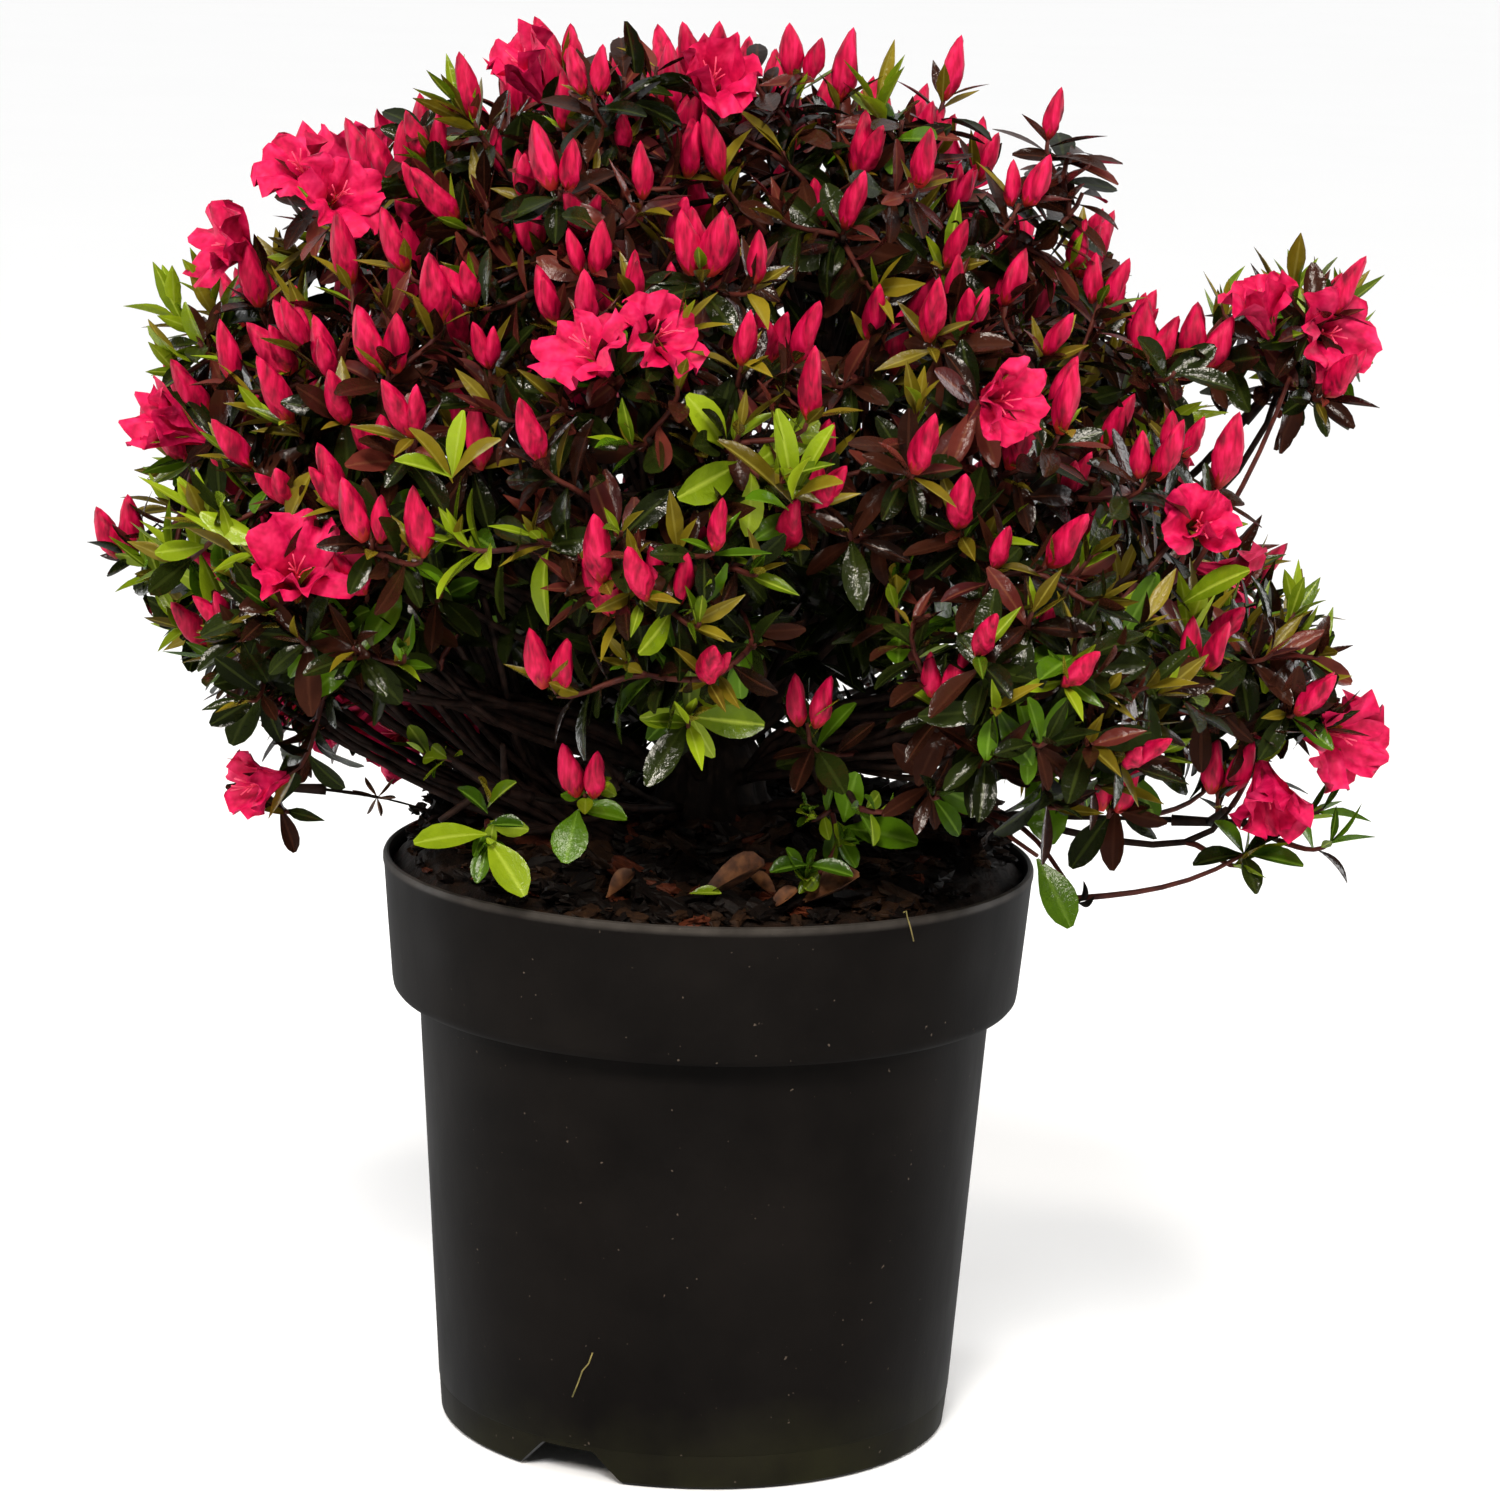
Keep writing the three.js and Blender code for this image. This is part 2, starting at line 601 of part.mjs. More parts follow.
// Sets an open flower, a bud or a pair of buds on the end of a twig.
function addBloom(mass, twig) {
  const set = (geometry, aim, length, radius) => {
    const end = twig.foot.clone().addScaledVector(aim, length);
    const spine = [twig.foot, twig.foot.clone().lerp(end, 0.6), end];
    const standing = stand(geometry, twig.foot, aim, twig.spin);
    const piece = { geometry: standing, spine, radii: [1, radius, 1], free: spine.slice(1) };
    if (hasRoom(mass, piece)) addPiece(mass, piece);
  };
  if (twig.flower) return set(flowerGeometry(), twig.aim, FLOWER_HEIGHT, FLOWER_NOTCH_RADIUS);
  const aims = twig.twin ? [0, Math.PI].map((side) => leanFrom(twig.aim, TWIN_TILT, side)) : [twig.aim];
  for (const aim of aims) set(budGeometry(mass.scale), aim, BUD_LENGTH * mass.scale, BUD_RADIUS);
}

// A turn about a leaf's own axis that lays its upper face to the light.
function turnToLight(direction, light) {
  const turn = new THREE.Quaternion().setFromUnitVectors(UP, direction);
  const x = new THREE.Vector3(1, 0, 0).applyQuaternion(turn);
  const y = new THREE.Vector3(0, 1, 0).applyQuaternion(turn);
  return Math.atan2(-y.dot(light), -x.dot(light));
}

function makeMass(bough, boughs, limbs, growth) {
  const random = seeded(SEED * 7 + bough.index * 13);
  const stem = limb(bough.curve, growth.start, 1, STEM_RADIUS, STEM_RADIUS * 0.8, TWIG_SIDES, 2);
  const light = outwardOf(bough).addScaledVector(UP, 0.3).normalize();
  const scale = scaleOf(bough);
  const taken = [bough.curve.getPointAt(growth.start)];
  const mass = { bough, boughs, limbs, light, scale, taken, pieces: [solidOf(stem)] };
  for (const twig of growth.twigs) {
    mass.pieces.push(solidOf(limb(twig.line, 0, 1, TWIG_RADIUS, TWIG_RADIUS, TWIG_SIDES, 1)));
    mass.taken.push(...[0.35, 0.6].map((share) => twig.line.getPoint(share)));
  }
  for (const twig of growth.twigs) addBloom(mass, twig);
  for (let i = 0; i < LEAVES_PER_TIP; i++)
    for (const twig of growth.twigs) {
      const place = twig.tip.clone().addScaledVector(twig.along, -2.5 - LEAF_SPACING * scale * i);
      addLeaf(mass, place, twig.aim, random);
    }
  return tidied(Manifold.union(mass.pieces));
}

// The twig nearest each named flower place opens a flower instead of a bud. Outer twigs are favoured.
function chooseFlowers(growths) {
  const tips = growths.flatMap((growth) => growth.twigs);
  const crownMiddle = new THREE.Vector3(0, 0, CROWN_MIDDLE_HEIGHT);
  for (const [azimuth, height] of FLOWERS) {
    let best = null;
    for (const twig of tips) {
      const spot = polar(azimuth, Math.hypot(twig.tip.x, twig.tip.y), height);
      const away = spot.distanceTo(twig.tip) - OUTER_FAVOUR * twig.tip.distanceTo(crownMiddle);
      if (!twig.flower && (!best || away < best.away)) best = { twig, away };
    }
    best.twig.flower = true;
  }
}

// ---- Assembly ----

function material(name, color, roughness) {
  return new THREE.MeshStandardMaterial({ name, color, roughness, metalness: 0 });
}

const plastic = material("pot_plastic", 0x17171a, 0.42);
const compost = material("compost", 0x1d1410, 0.95);
const bark = material("bark", 0x33231d, 0.85);
const bronzeLeaves = material("bronze_leaves", 0x3b1f1c, 0.35);
const greenLeaves = material("green_leaves", 0x2c4418, 0.4);

const azalea = new THREE.Group();
const pot = new THREE.Group();
pot.add(nodeOf("pot", makePot(), plastic));
pot.add(nodeOf("compost", makeCompost(), compost));
azalea.add(pot);

const wood = new THREE.Group();
wood.add(nodeOf("root_crown", makeStool(), bark));
const boughs = layOutBoughs();
const stoolClearance = makeStool(FIT_GAP);
for (const bough of boughs) wood.add(nodeOf(`${bough.name}_bough`, makeBough(bough, stoolClearance), bark));
azalea.add(wood);

const foliage = new THREE.Group();
const limbs = limbSamples(boughs);
const growths = boughs.map((bough) => growTwigs(bough, boughs, limbs));
chooseFlowers(growths);
boughs.forEach((bough, i) => {
  const leaves = bough.height > 340 ? bronzeLeaves : greenLeaves;
  foliage.add(nodeOf(`${bough.name}_foliage`, makeMass(bough, boughs, limbs, growths[i]), leaves));
});
azalea.add(foliage);

// The origin goes under the middle of the whole plant, on the ground.
const middle = new THREE.Box3().setFromObject(azalea).getCenter(new THREE.Vector3());
for (const group of azalea.children) group.position.set(-Math.round(middle.x), -Math.round(middle.y), 0);

export default azalea;
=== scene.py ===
# %% [markdown]
# An evergreen azalea in a nursery pot.
# The plant is grown here a second time, by the same rule as the CAD solids: boughs leave a root crown, each
# bough ends in a mass of foliage, and every mass keeps to its own space. Here the rule is carried on to fine
# shoots with leaves, buds and flowers of real size. Lengths in the rule are millimetres from the pot's axis,
# and they become metres only where a mesh is made.

# %% Load the frame
import math
import bpy
import numpy as np
from mathutils import Matrix, Vector


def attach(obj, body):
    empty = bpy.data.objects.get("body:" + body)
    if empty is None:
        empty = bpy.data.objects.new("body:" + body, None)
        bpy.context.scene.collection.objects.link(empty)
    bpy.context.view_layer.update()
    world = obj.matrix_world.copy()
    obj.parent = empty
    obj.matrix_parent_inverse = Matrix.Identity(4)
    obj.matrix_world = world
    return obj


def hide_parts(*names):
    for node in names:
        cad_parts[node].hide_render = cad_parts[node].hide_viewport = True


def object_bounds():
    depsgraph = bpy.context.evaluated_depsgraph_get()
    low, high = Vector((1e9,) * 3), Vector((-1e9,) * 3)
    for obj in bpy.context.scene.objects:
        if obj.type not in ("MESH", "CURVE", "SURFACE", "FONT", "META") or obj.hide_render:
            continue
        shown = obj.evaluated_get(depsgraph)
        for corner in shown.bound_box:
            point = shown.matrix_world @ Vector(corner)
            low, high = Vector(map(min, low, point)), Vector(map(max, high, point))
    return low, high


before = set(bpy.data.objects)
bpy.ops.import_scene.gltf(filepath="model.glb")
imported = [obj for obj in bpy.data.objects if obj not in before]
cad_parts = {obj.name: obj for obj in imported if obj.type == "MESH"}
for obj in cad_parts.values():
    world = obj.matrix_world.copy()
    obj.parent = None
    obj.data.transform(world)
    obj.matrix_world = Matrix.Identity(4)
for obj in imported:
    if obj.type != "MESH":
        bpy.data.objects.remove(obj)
cad_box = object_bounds()
AXIS = np.array([-12.0, -9.0, 0.0])  # the pot's axis, from the middle of the whole plant
UP = np.array([0.0, 0.0, 1.0])
print("CAD nodes:", len(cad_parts), "box:", cad_box)

# %% [markdown]
# Colours are written as sRGB hex values, as a paint chart gives them. The shader works in linear light, so one
# function turns them. A second one adds a node with its settings and links, and every finish below is built
# with it.

# %% Colours and nodes
def linear(code):
    """An sRGB hex colour in linear light."""
    parts = [int(code[i:i + 2], 16) / 255 for i in (1, 3, 5)]
    return (*[p / 12.92 if p <= 0.04045 else ((p + 0.055) / 1.055) ** 2.4 for p in parts], 1.0)


def add_node(material, kind, sockets=None, stops=(), **settings):
    """Adds a node, sets its properties and (position, hex colour) stops, and sets or links its sockets."""
    tree = material.node_tree
    node = tree.nodes.new(kind)
    for key, value in settings.items():
        setattr(node, key, value)
    for key, value in (sockets or {}).items():
        if isinstance(value, bpy.types.NodeSocket):
            tree.links.new(value, node.inputs[key])
        else:
            node.inputs[key].default_value = value
    for _ in stops[2:]:
        node.color_ramp.elements.new(0.5)
    for element, (position, code) in zip(node.color_ramp.elements if stops else (), stops):
        element.position, element.color = position, linear(code)
    return node


def bare_material(name):
    """A material with no nodes yet."""
    material = bpy.data.materials.new(name)
    material.use_nodes = True
    material.node_tree.nodes.clear()
    return material


def coat(material, values):
    """Ends a material with its shader and its output."""
    shader = add_node(material, "ShaderNodeBsdfPrincipled", values)
    add_node(material, "ShaderNodeOutputMaterial", {"Surface": shader.outputs[0]})
    return material


def blotches(material, size_mm, detail=2.0, stretch=(1, 1, 1)):
    """A pattern in the piece's own coordinates, whose blotches are about size_mm across."""
    place = add_node(material, "ShaderNodeTexCoord").outputs["Object"]
    turned = add_node(material, "ShaderNodeMapping", {"Vector": place, "Scale": stretch})
    made = add_node(material, "ShaderNodeTexNoise", {
        "Vector": turned.outputs["Vector"], "Scale": 1000 / size_mm, "Detail": detail, "Roughness": 0.6})
    return made.outputs["Fac"]


PATTERN_LOW, PATTERN_SPREAD = 0.3, 0.4  # most of a pattern's values lie between 0.3 and 0.7


def finish(name, shades, size_mm, roughness, bump=0.0, bump_mm=1.0, shift_mm=0.3, detail=2.0,
           stretch=(1, 1, 1), shine=0.5):
    """A finish whose colour runs through shades in blotches of size_mm, over a surface rough at bump_mm."""
    material = bare_material(name)
    stops = [(PATTERN_LOW + PATTERN_SPREAD * i / (len(shades) - 1), code) for i, code in enumerate(shades)]
    pattern = blotches(material, size_mm, detail, stretch)
    colour = add_node(material, "ShaderNodeValToRGB", {"Fac": pattern}, stops)
    values = {"Base Color": colour.outputs["Color"], "Roughness": roughness, "Specular IOR Level": shine}
    if bump:
        relief = add_node(material, "ShaderNodeBump", {
            "Height": blotches(material, bump_mm, 3.0, stretch), "Strength": bump, "Distance": shift_mm / 1000})
        values["Normal"] = relief.outputs["Normal"]
    return coat(material, values)


# %% [markdown]
# Two ways of making pieces are used. Single pieces are modelled with operators, as by hand. What grows in
# hundreds is modelled once that way, read into arrays, and set out by the rule as one joined mesh.

# %% Making pieces
def deselect():
    """Leaves edit mode and deselects everything, as operators act on all that is selected."""
    if bpy.context.mode != "OBJECT":
        bpy.ops.object.mode_set(mode="OBJECT")
    bpy.ops.object.select_all(action="DESELECT")


def select_only(*pieces):
    """Selects these pieces alone, the last of them as the active one."""
    deselect()
    for piece in pieces:
        piece.select_set(True)
    bpy.context.view_layer.objects.active = pieces[-1]


def pick(piece, test):
    """In edit mode, selects the vertices whose place passes a test."""
    bpy.ops.mesh.select_all(action="DESELECT")
    bpy.ops.object.mode_set(mode="OBJECT")
    for vertex in piece.data.vertices:
        vertex.select = bool(test(vertex.co))
    bpy.ops.object.mode_set(mode="EDIT")


def own(piece, material, replaces=()):
    """Gives a piece its finish, sets it on the plant's one body and hides the CAD parts that it stands for."""
    piece.data.materials.clear()
    piece.data.materials.append(material)
    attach(piece, "root")
    if replaces:
        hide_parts(*replaces)
    print(piece.name, len(piece.data.polygons), "faces")
    return piece


def model_of(piece):
    """Reads a modelled piece into points and triangles, and removes it."""
    select_only(piece)
    bpy.ops.object.mode_set(mode="EDIT")
    bpy.ops.mesh.select_all(action="SELECT")
    bpy.ops.mesh.quads_convert_to_tris(quad_method="FIXED", ngon_method="BEAUTY")
    bpy.ops.object.mode_set(mode="OBJECT")
    mesh = piece.data
    points = np.empty(len(mesh.vertices) * 3)
    mesh.vertices.foreach_get("co", points)
    corners = np.empty(len(mesh.loops), dtype=np.int64)
    mesh.loops.foreach_get("vertex_index", corners)
    bpy.data.objects.remove(piece)
    return points.reshape(-1, 3), corners.reshape(-1, 3)


def joined(name, parts, smooth=True, marks=None):
    """One mesh in metres from many (points in mm from the pot's axis, triangles).

    marks holds named values for its points, which a finish can read.
    """
    starts = np.cumsum([0] + [len(points) for points, _ in parts])
    points = np.concatenate([points for points, _ in parts])
    triangles = np.concatenate([triangles + start for (_, triangles), start in zip(parts, starts)])
    mesh = bpy.data.meshes.new(name)
    mesh.vertices.add(len(points))
    mesh.vertices.foreach_set("co", ((points + AXIS) / 1000).ravel())
    mesh.loops.add(triangles.size)
    mesh.loops.foreach_set("vertex_index", triangles.ravel().astype(np.int32))
    mesh.polygons.add(len(triangles))
    mesh.polygons.foreach_set("loop_start", np.arange(0, triangles.size, 3, dtype=np.int32))
    mesh.polygons.foreach_set("use_smooth", np.full(len(triangles), smooth))
    for mark, values in (marks or {}).items():
        mesh.attributes.new(mark, "FLOAT", "POINT").data.foreach_set("value", np.concatenate(values))
    mesh.update(calc_edges=True)
    mesh.validate()
    piece = bpy.data.objects.new(name, mesh)
    bpy.context.collection.objects.link(piece)
    return piece


def unit(vectors):
    """Vectors made one long."""
    vectors = np.asarray(vectors, dtype=float)
    return vectors / np.maximum(np.linalg.norm(vectors, axis=-1, keepdims=True), 1e-9)


def set_out(model, places, across, along, normal):
    """Copies of a model: its x, y and z go along the three rows of vectors, which also carry its size."""
    points, triangles = model
    count = len(places)
    points = np.broadcast_to(points, (count, *points.shape[-2:]))
    laid = (places[:, None, :] + points[..., 0:1] * across[:, None, :] + points[..., 1:2] * along[:, None, :]
            + points[..., 2:3] * normal[:, None, :])
    steps = np.arange(count)[:, None, None] * points.shape[1]
    return laid.reshape(-1, 3), (triangles[None] + steps).reshape(-1, 3)


def square_to(axes, spins):
    """Two directions square to each axis, turned about it."""
    axes = unit(axes)
    helper = np.where(np.abs(axes[:, 2:3]) < 0.9, UP, [1.0, 0.0, 0.0])
    side = unit(np.cross(helper, axes))
    other = np.cross(axes, side)
    cos, sin = np.cos(spins)[:, None], np.sin(spins)[:, None]
    return side * cos + other * sin, other * cos - side * sin


def tubes(lines, radii, sides):
    """Joined tubes round polylines of equal point count, closed at both ends."""
    lines, radii = np.asarray(lines), np.asarray(radii)
    count, steps = lines.shape[:2]
    along = unit(np.gradient(lines, axis=1))
    side = unit(np.cross(along, np.array([0.31, 0.2, 0.93])))
    over = np.cross(along, side)
    turn = np.arange(sides) * 2 * math.pi / sides
    ring = (np.cos(turn)[:, None] * side[:, :, None, :] + np.sin(turn)[:, None] * over[:, :, None, :])
    points = (lines[:, :, None, :] + ring * radii[:, :, None, None]).reshape(count, -1, 3)
    points = np.concatenate([points, lines[:, :1], lines[:, -1:]], axis=1)
    faces = []
    for step in range(steps - 1):
        for k in range(sides):
            a, b = step * sides + k, step * sides + (k + 1) % sides
            faces += [(a, b, b + sides), (a, b + sides, a + sides)]
    first, last, end = steps * sides, steps * sides + 1, (steps - 1) * sides
    for k in range(sides):
        faces += [(first, (k + 1) % sides, k), (last, end + k, end + (k + 1) % sides)]
    steps_to = np.arange(count)[:, None, None] * points.shape[1]
    return points.reshape(-1, 3), (np.array(faces)[None] + steps_to).reshape(-1, 3)


# %% [markdown]
# The camera stands a little above the rim of the pot and looks slightly down, with a long lens, so the pot's
# sides stay nearly parallel. The floor is one wide pale plane, and beyond it the world shows plain white.

# %% Camera
def aimed_camera(place, pitch, yaw, roll, lens):
    """A camera from its place in metres, and its pitch down, yaw to the right and roll in radians."""
    ahead = Vector((math.sin(yaw) * math.cos(pitch), math.cos(yaw) * math.cos(pitch), -math.sin(pitch)))
    right = Vector((math.cos(yaw), -math.sin(yaw), 0))
    above = right.cross(ahead)
    side = right * math.cos(roll) + above * math.sin(roll)
    head = -right * math.sin(roll) + above * math.cos(roll)
    data = bpy.data.cameras.new("studio_camera")
    data.lens, data.sensor_width = lens, 36
    camera = bpy.data.objects.new("studio_camera", data)
    camera.matrix_world = Matrix.Translation(place) @ Matrix((side, head, -ahead)).transposed().to_4x4()
    bpy.context.collection.objects.link(camera)
    return camera


CAMERA_PLACE = (-0.012, -1.6704, 0.569)
PITCH, YAW, ROLL = 0.1946, 0.0081, 0.0309
LENS = 115.3
bpy.context.scene.camera = aimed_camera(CAMERA_PLACE, PITCH, YAW, ROLL, LENS)
bpy.context.scene.view_settings.view_transform = "Standard"
print("camera", tuple(round(v, 3) for v in bpy.context.scene.camera.location))

# %% [markdown]
# The light is what a white studio gives: bright behind, dimmer in front, and a soft sun from above the front.
# Four small lamps put the highlights on shiny leaves, and two upright strips beside the plant draw a bright
# line down each side of the black pot. The floor is wide enough to fill the view.

# %% Studio
def soft_lamp(name, place, target, size, watts, colour="#FFFFFF"):
    """A rectangular lamp turned to a target."""
    data = bpy.data.lights.new(name, "AREA")
    data.shape, data.size, data.size_y, data.energy = "RECTANGLE", size[0], size[1], watts
    data.color = linear(colour)[:3]
    lamp = bpy.data.objects.new(name, data)
    lamp.location = place
    lamp.rotation_euler = (Vector(target) - Vector(place)).to_track_quat("-Z", "Y").to_euler()
    bpy.context.collection.objects.link(lamp)
    return lamp


FLOOR_SIZE = 60  # metres
FLOOR_DROP = 0.0005  # below the pot's foot, so the two faces don't flicker


def make_floor():
    """A wide pale floor."""
    deselect()
    bpy.ops.mesh.primitive_plane_add(size=FLOOR_SIZE, location=(0, 0, -FLOOR_DROP))
    floor = bpy.context.object
    floor.name = "studio_floor"
    floor.data.materials.append(finish("Matt_white_paper", ["#FEFEFE", "#FFFFFF"], 400, 1.0))
    bpy.ops.object.transform_apply(location=True)
    floor.visible_glossy = False
    return floor


MIRRORED_SHARE = 0.35  # how much of the tent's light shows in shiny things


def white_tent(front, behind):
    """Light from all round, dimmer from the room in front and plain white to the eye."""
    world = bpy.data.worlds.new("white_tent")
    bpy.context.scene.world = world
    world.use_nodes = True
    direction = add_node(world, "ShaderNodeTexCoord").outputs["Generated"]
    depth = add_node(world, "ShaderNodeSeparateXYZ", {"Vector": direction}).outputs["Y"]
    light = add_node(world, "ShaderNodeMapRange", {
        "Value": depth, "From Min": -0.3, "From Max": 0.55,
        "To Min": front, "To Max": behind}).outputs["Result"]
    ray = add_node(world, "ShaderNodeLightPath").outputs
    mirrored = add_node(world, "ShaderNodeMath", {0: light, 1: MIRRORED_SHARE}, operation="MULTIPLY").outputs[0]
    lit = add_node(world, "ShaderNodeMix", {0: ray["Is Glossy Ray"], 2: light, 3: mirrored}, data_type="FLOAT")
    strength = add_node(world, "ShaderNodeMix", {
        0: ray["Is Camera Ray"], 2: lit.outputs[0], 3: 1.0}, data_type="FLOAT")
    background = world.node_tree.nodes["Background"]
    background.inputs["Color"].default_value = linear("#FFFFFF")
    world.node_tree.links.new(strength.outputs[0], background.inputs["Strength"])


make_floor()
white_tent(0.14, 1.08)
CROWN_MIDDLE, LOW_MIDDLE = (0, 0, 0.32), (0, 0, 0.2)
LAMPS = [  # name, place and watts
    ("key_lamp", (-0.25, -1.6, 1.7), 14), ("left_lamp", (-1.0, -1.2, 1.2), 8),
    ("right_lamp", (0.9, -1.3, 1.1), 8), ("top_lamp", (0.2, -0.6, 2.0), 8),
]
for name, place, watts in LAMPS:
    soft_lamp(name, place, CROWN_MIDDLE, (0.3, 0.3), watts, "#FFF6EA")
sun = bpy.data.lights.new("soft_sun", "SUN")
sun.energy, sun.angle = 2.1, math.radians(20)  # a wide disc, for soft shadows
sun_lamp = bpy.data.objects.new("soft_sun", sun)
sun_lamp.rotation_euler = (math.radians(44), math.radians(-6), 0)
sun_lamp.visible_glossy = False
bpy.context.collection.objects.link(sun_lamp)
for name, x in (("left_strip", -1.1), ("right_strip", 1.1)):
    soft_lamp(name, (x, 0.35, 0.5), LOW_MIDDLE, (0.25, 1.3), 5)
print("studio ready")

# %% [markdown]
# The pot is thin moulded polypropylene: a tapered wall, a wide collar that stiffens the rim, and a foot ring
# with three notches that let water out. A pot is a turned shape, so one ring of edges is drawn out from the
# middle of the floor, over the foot ring, up the wall, round the lip and down inside.

# %% Pot
POT_RINGS = [  # radius and height of each ring in millimetres
    (84.6, 11), (85.3, 10.2), (86.0, 1.0), (86.8, 0), (90.0, 0), (90.8, 0.8), (91.65, 11.3), (91.55, 12.0),
    (91.95, 12.7), (96.4, 80), (101.2, 150.5), (101.6, 153.4), (102.6, 154.5), (107.4, 154.6), (109.4, 155.1),
    (110.6, 156.6), (111.0, 158.8), (112.9, 180), (114.5, 199.0), (115.0, 201.0), (115.0, 202.5),
    (114.6, 203.5), (113.8, 204.0), (113.0, 203.6), (112.6, 202.4), (112.3, 199), (108.6, 158.4),
    (107.6, 157.5), (100.2, 157.4), (99.2, 156.0), (89.6, 15.2), (88.6, 14),
]


def draw_up(rings, middle, per_unit, twist=0.0):
    """Draws the selected ring through (radius, height) rings, per_unit of them to Blender's own length."""
    for (radius, height), (next_radius, next_height) in zip(rings, rings[1:]):
        rise = (next_height - height) / per_unit
        bpy.ops.mesh.extrude_region_move(TRANSFORM_OT_translate={"value": (0, 0, rise)})
        growth = next_radius / radius
        bpy.ops.transform.resize(value=(growth, growth, 1), center_override=middle)
        if twist:
            bpy.ops.transform.rotate(value=twist, orient_axis="Z", center_override=middle)


def open_ring():
    """In edit mode, takes away the selected circle's face and selects its edge."""
    bpy.ops.mesh.select_all(action="SELECT")
    bpy.ops.mesh.delete(type="ONLY_FACE")
    bpy.ops.mesh.select_all(action="SELECT")


def close_body(piece, first_ring):
    """Closes a drawn body at its last and first rings, turns its faces outwards and sets its origin."""
    bpy.ops.mesh.edge_face_add()
    pick(piece, first_ring)
    bpy.ops.mesh.edge_face_add()
    bpy.ops.mesh.select_all(action="SELECT")
    bpy.ops.mesh.normals_make_consistent(inside=False)
    select_only(piece)
    bpy.ops.object.transform_apply(location=True)
    return piece


def make_pot():
    """The pot as one closed wall."""
    deselect()
    radius, height = POT_RINGS[0]
    x, y, _ = AXIS / 1000
    bpy.ops.mesh.primitive_circle_add(vertices=144, radius=radius / 1000, fill_type="NGON",
                                      location=(x, y, height / 1000))
    pot = bpy.context.object
    pot.name = "pot_moulded"
    bpy.ops.object.mode_set(mode="EDIT")
    open_ring()
    draw_up(POT_RINGS, (x, y, 0), 1000)
    return close_body(pot, lambda co: abs(co.z) < 1e-6 and abs(math.hypot(co.x, co.y) - radius / 1000) < 1e-5)


pot = make_pot()
print("pot rings", len(POT_RINGS), "radius at rim", max(POT_RINGS)[0])

# %% [markdown]
# Notches and drain holes are cut with the Boolean modifier, by simple bodies that are removed afterwards.

# %% Notches and drain holes
def cut(piece, cutter):
    """Cuts one body out of a piece."""
    select_only(piece)
    modifier = piece.modifiers.new("cut", "BOOLEAN")
    modifier.operation, modifier.solver, modifier.object = "DIFFERENCE", "EXACT", cutter
    bpy.ops.object.modifier_apply(modifier=modifier.name)
    bpy.data.objects.remove(cutter)


FOOT_RING_RADIUS, DRAIN_CIRCLE_RADIUS = 0.088, 0.062
NOTCH_SIZE = (0.02, 0.043, 0.0115)  # across the foot ring, along it and upright
NOTCH_TOP_SHARE = 20 / 43  # how long the notch is at its top
NOTCH_AZIMUTHS, DRAIN_AZIMUTHS = (242, 2, 122), (0, 90, 180, 270)


def notch_body(azimuth):
    """A wedge, wider at the ground than at the top."""
    deselect()
    turn = math.radians(azimuth)
    middle = AXIS / 1000 + FOOT_RING_RADIUS * np.array([math.cos(turn), math.sin(turn), 0])
    bpy.ops.mesh.primitive_cube_add(size=1, location=(middle[0], middle[1], 0.00475))
    body = bpy.context.object
    bpy.ops.object.mode_set(mode="EDIT")
    bpy.ops.transform.resize(value=NOTCH_SIZE, center_override=tuple(body.location))
    pick(body, lambda co: co.z > 0)
    bpy.ops.transform.resize(value=(1, NOTCH_TOP_SHARE, 1), center_override=tuple(body.location))
    bpy.ops.mesh.select_all(action="SELECT")
    bpy.ops.mesh.bevel(offset=0.0012, segments=2, affect="EDGES")
    bpy.ops.object.mode_set(mode="OBJECT")
    body.rotation_euler[2] = turn
    return body


def drain_body(azimuth):
    """A round bar through the floor."""
    deselect()
    turn = math.radians(azimuth)
    bpy.ops.mesh.primitive_cylinder_add(vertices=32, radius=0.005, depth=0.012, location=(
        AXIS[0] / 1000 + DRAIN_CIRCLE_RADIUS * math.cos(turn),
        AXIS[1] / 1000 + DRAIN_CIRCLE_RADIUS * math.sin(turn), 0.0125))
    return bpy.context.object


for azimuth in NOTCH_AZIMUTHS:
    cut(pot, notch_body(azimuth))
for azimuth in DRAIN_AZIMUTHS:
    cut(pot, drain_body(azimuth))
select_only(pot)
bpy.ops.object.shade_smooth_by_angle(angle=math.radians(32))
print("pot faces", len(pot.data.polygons))
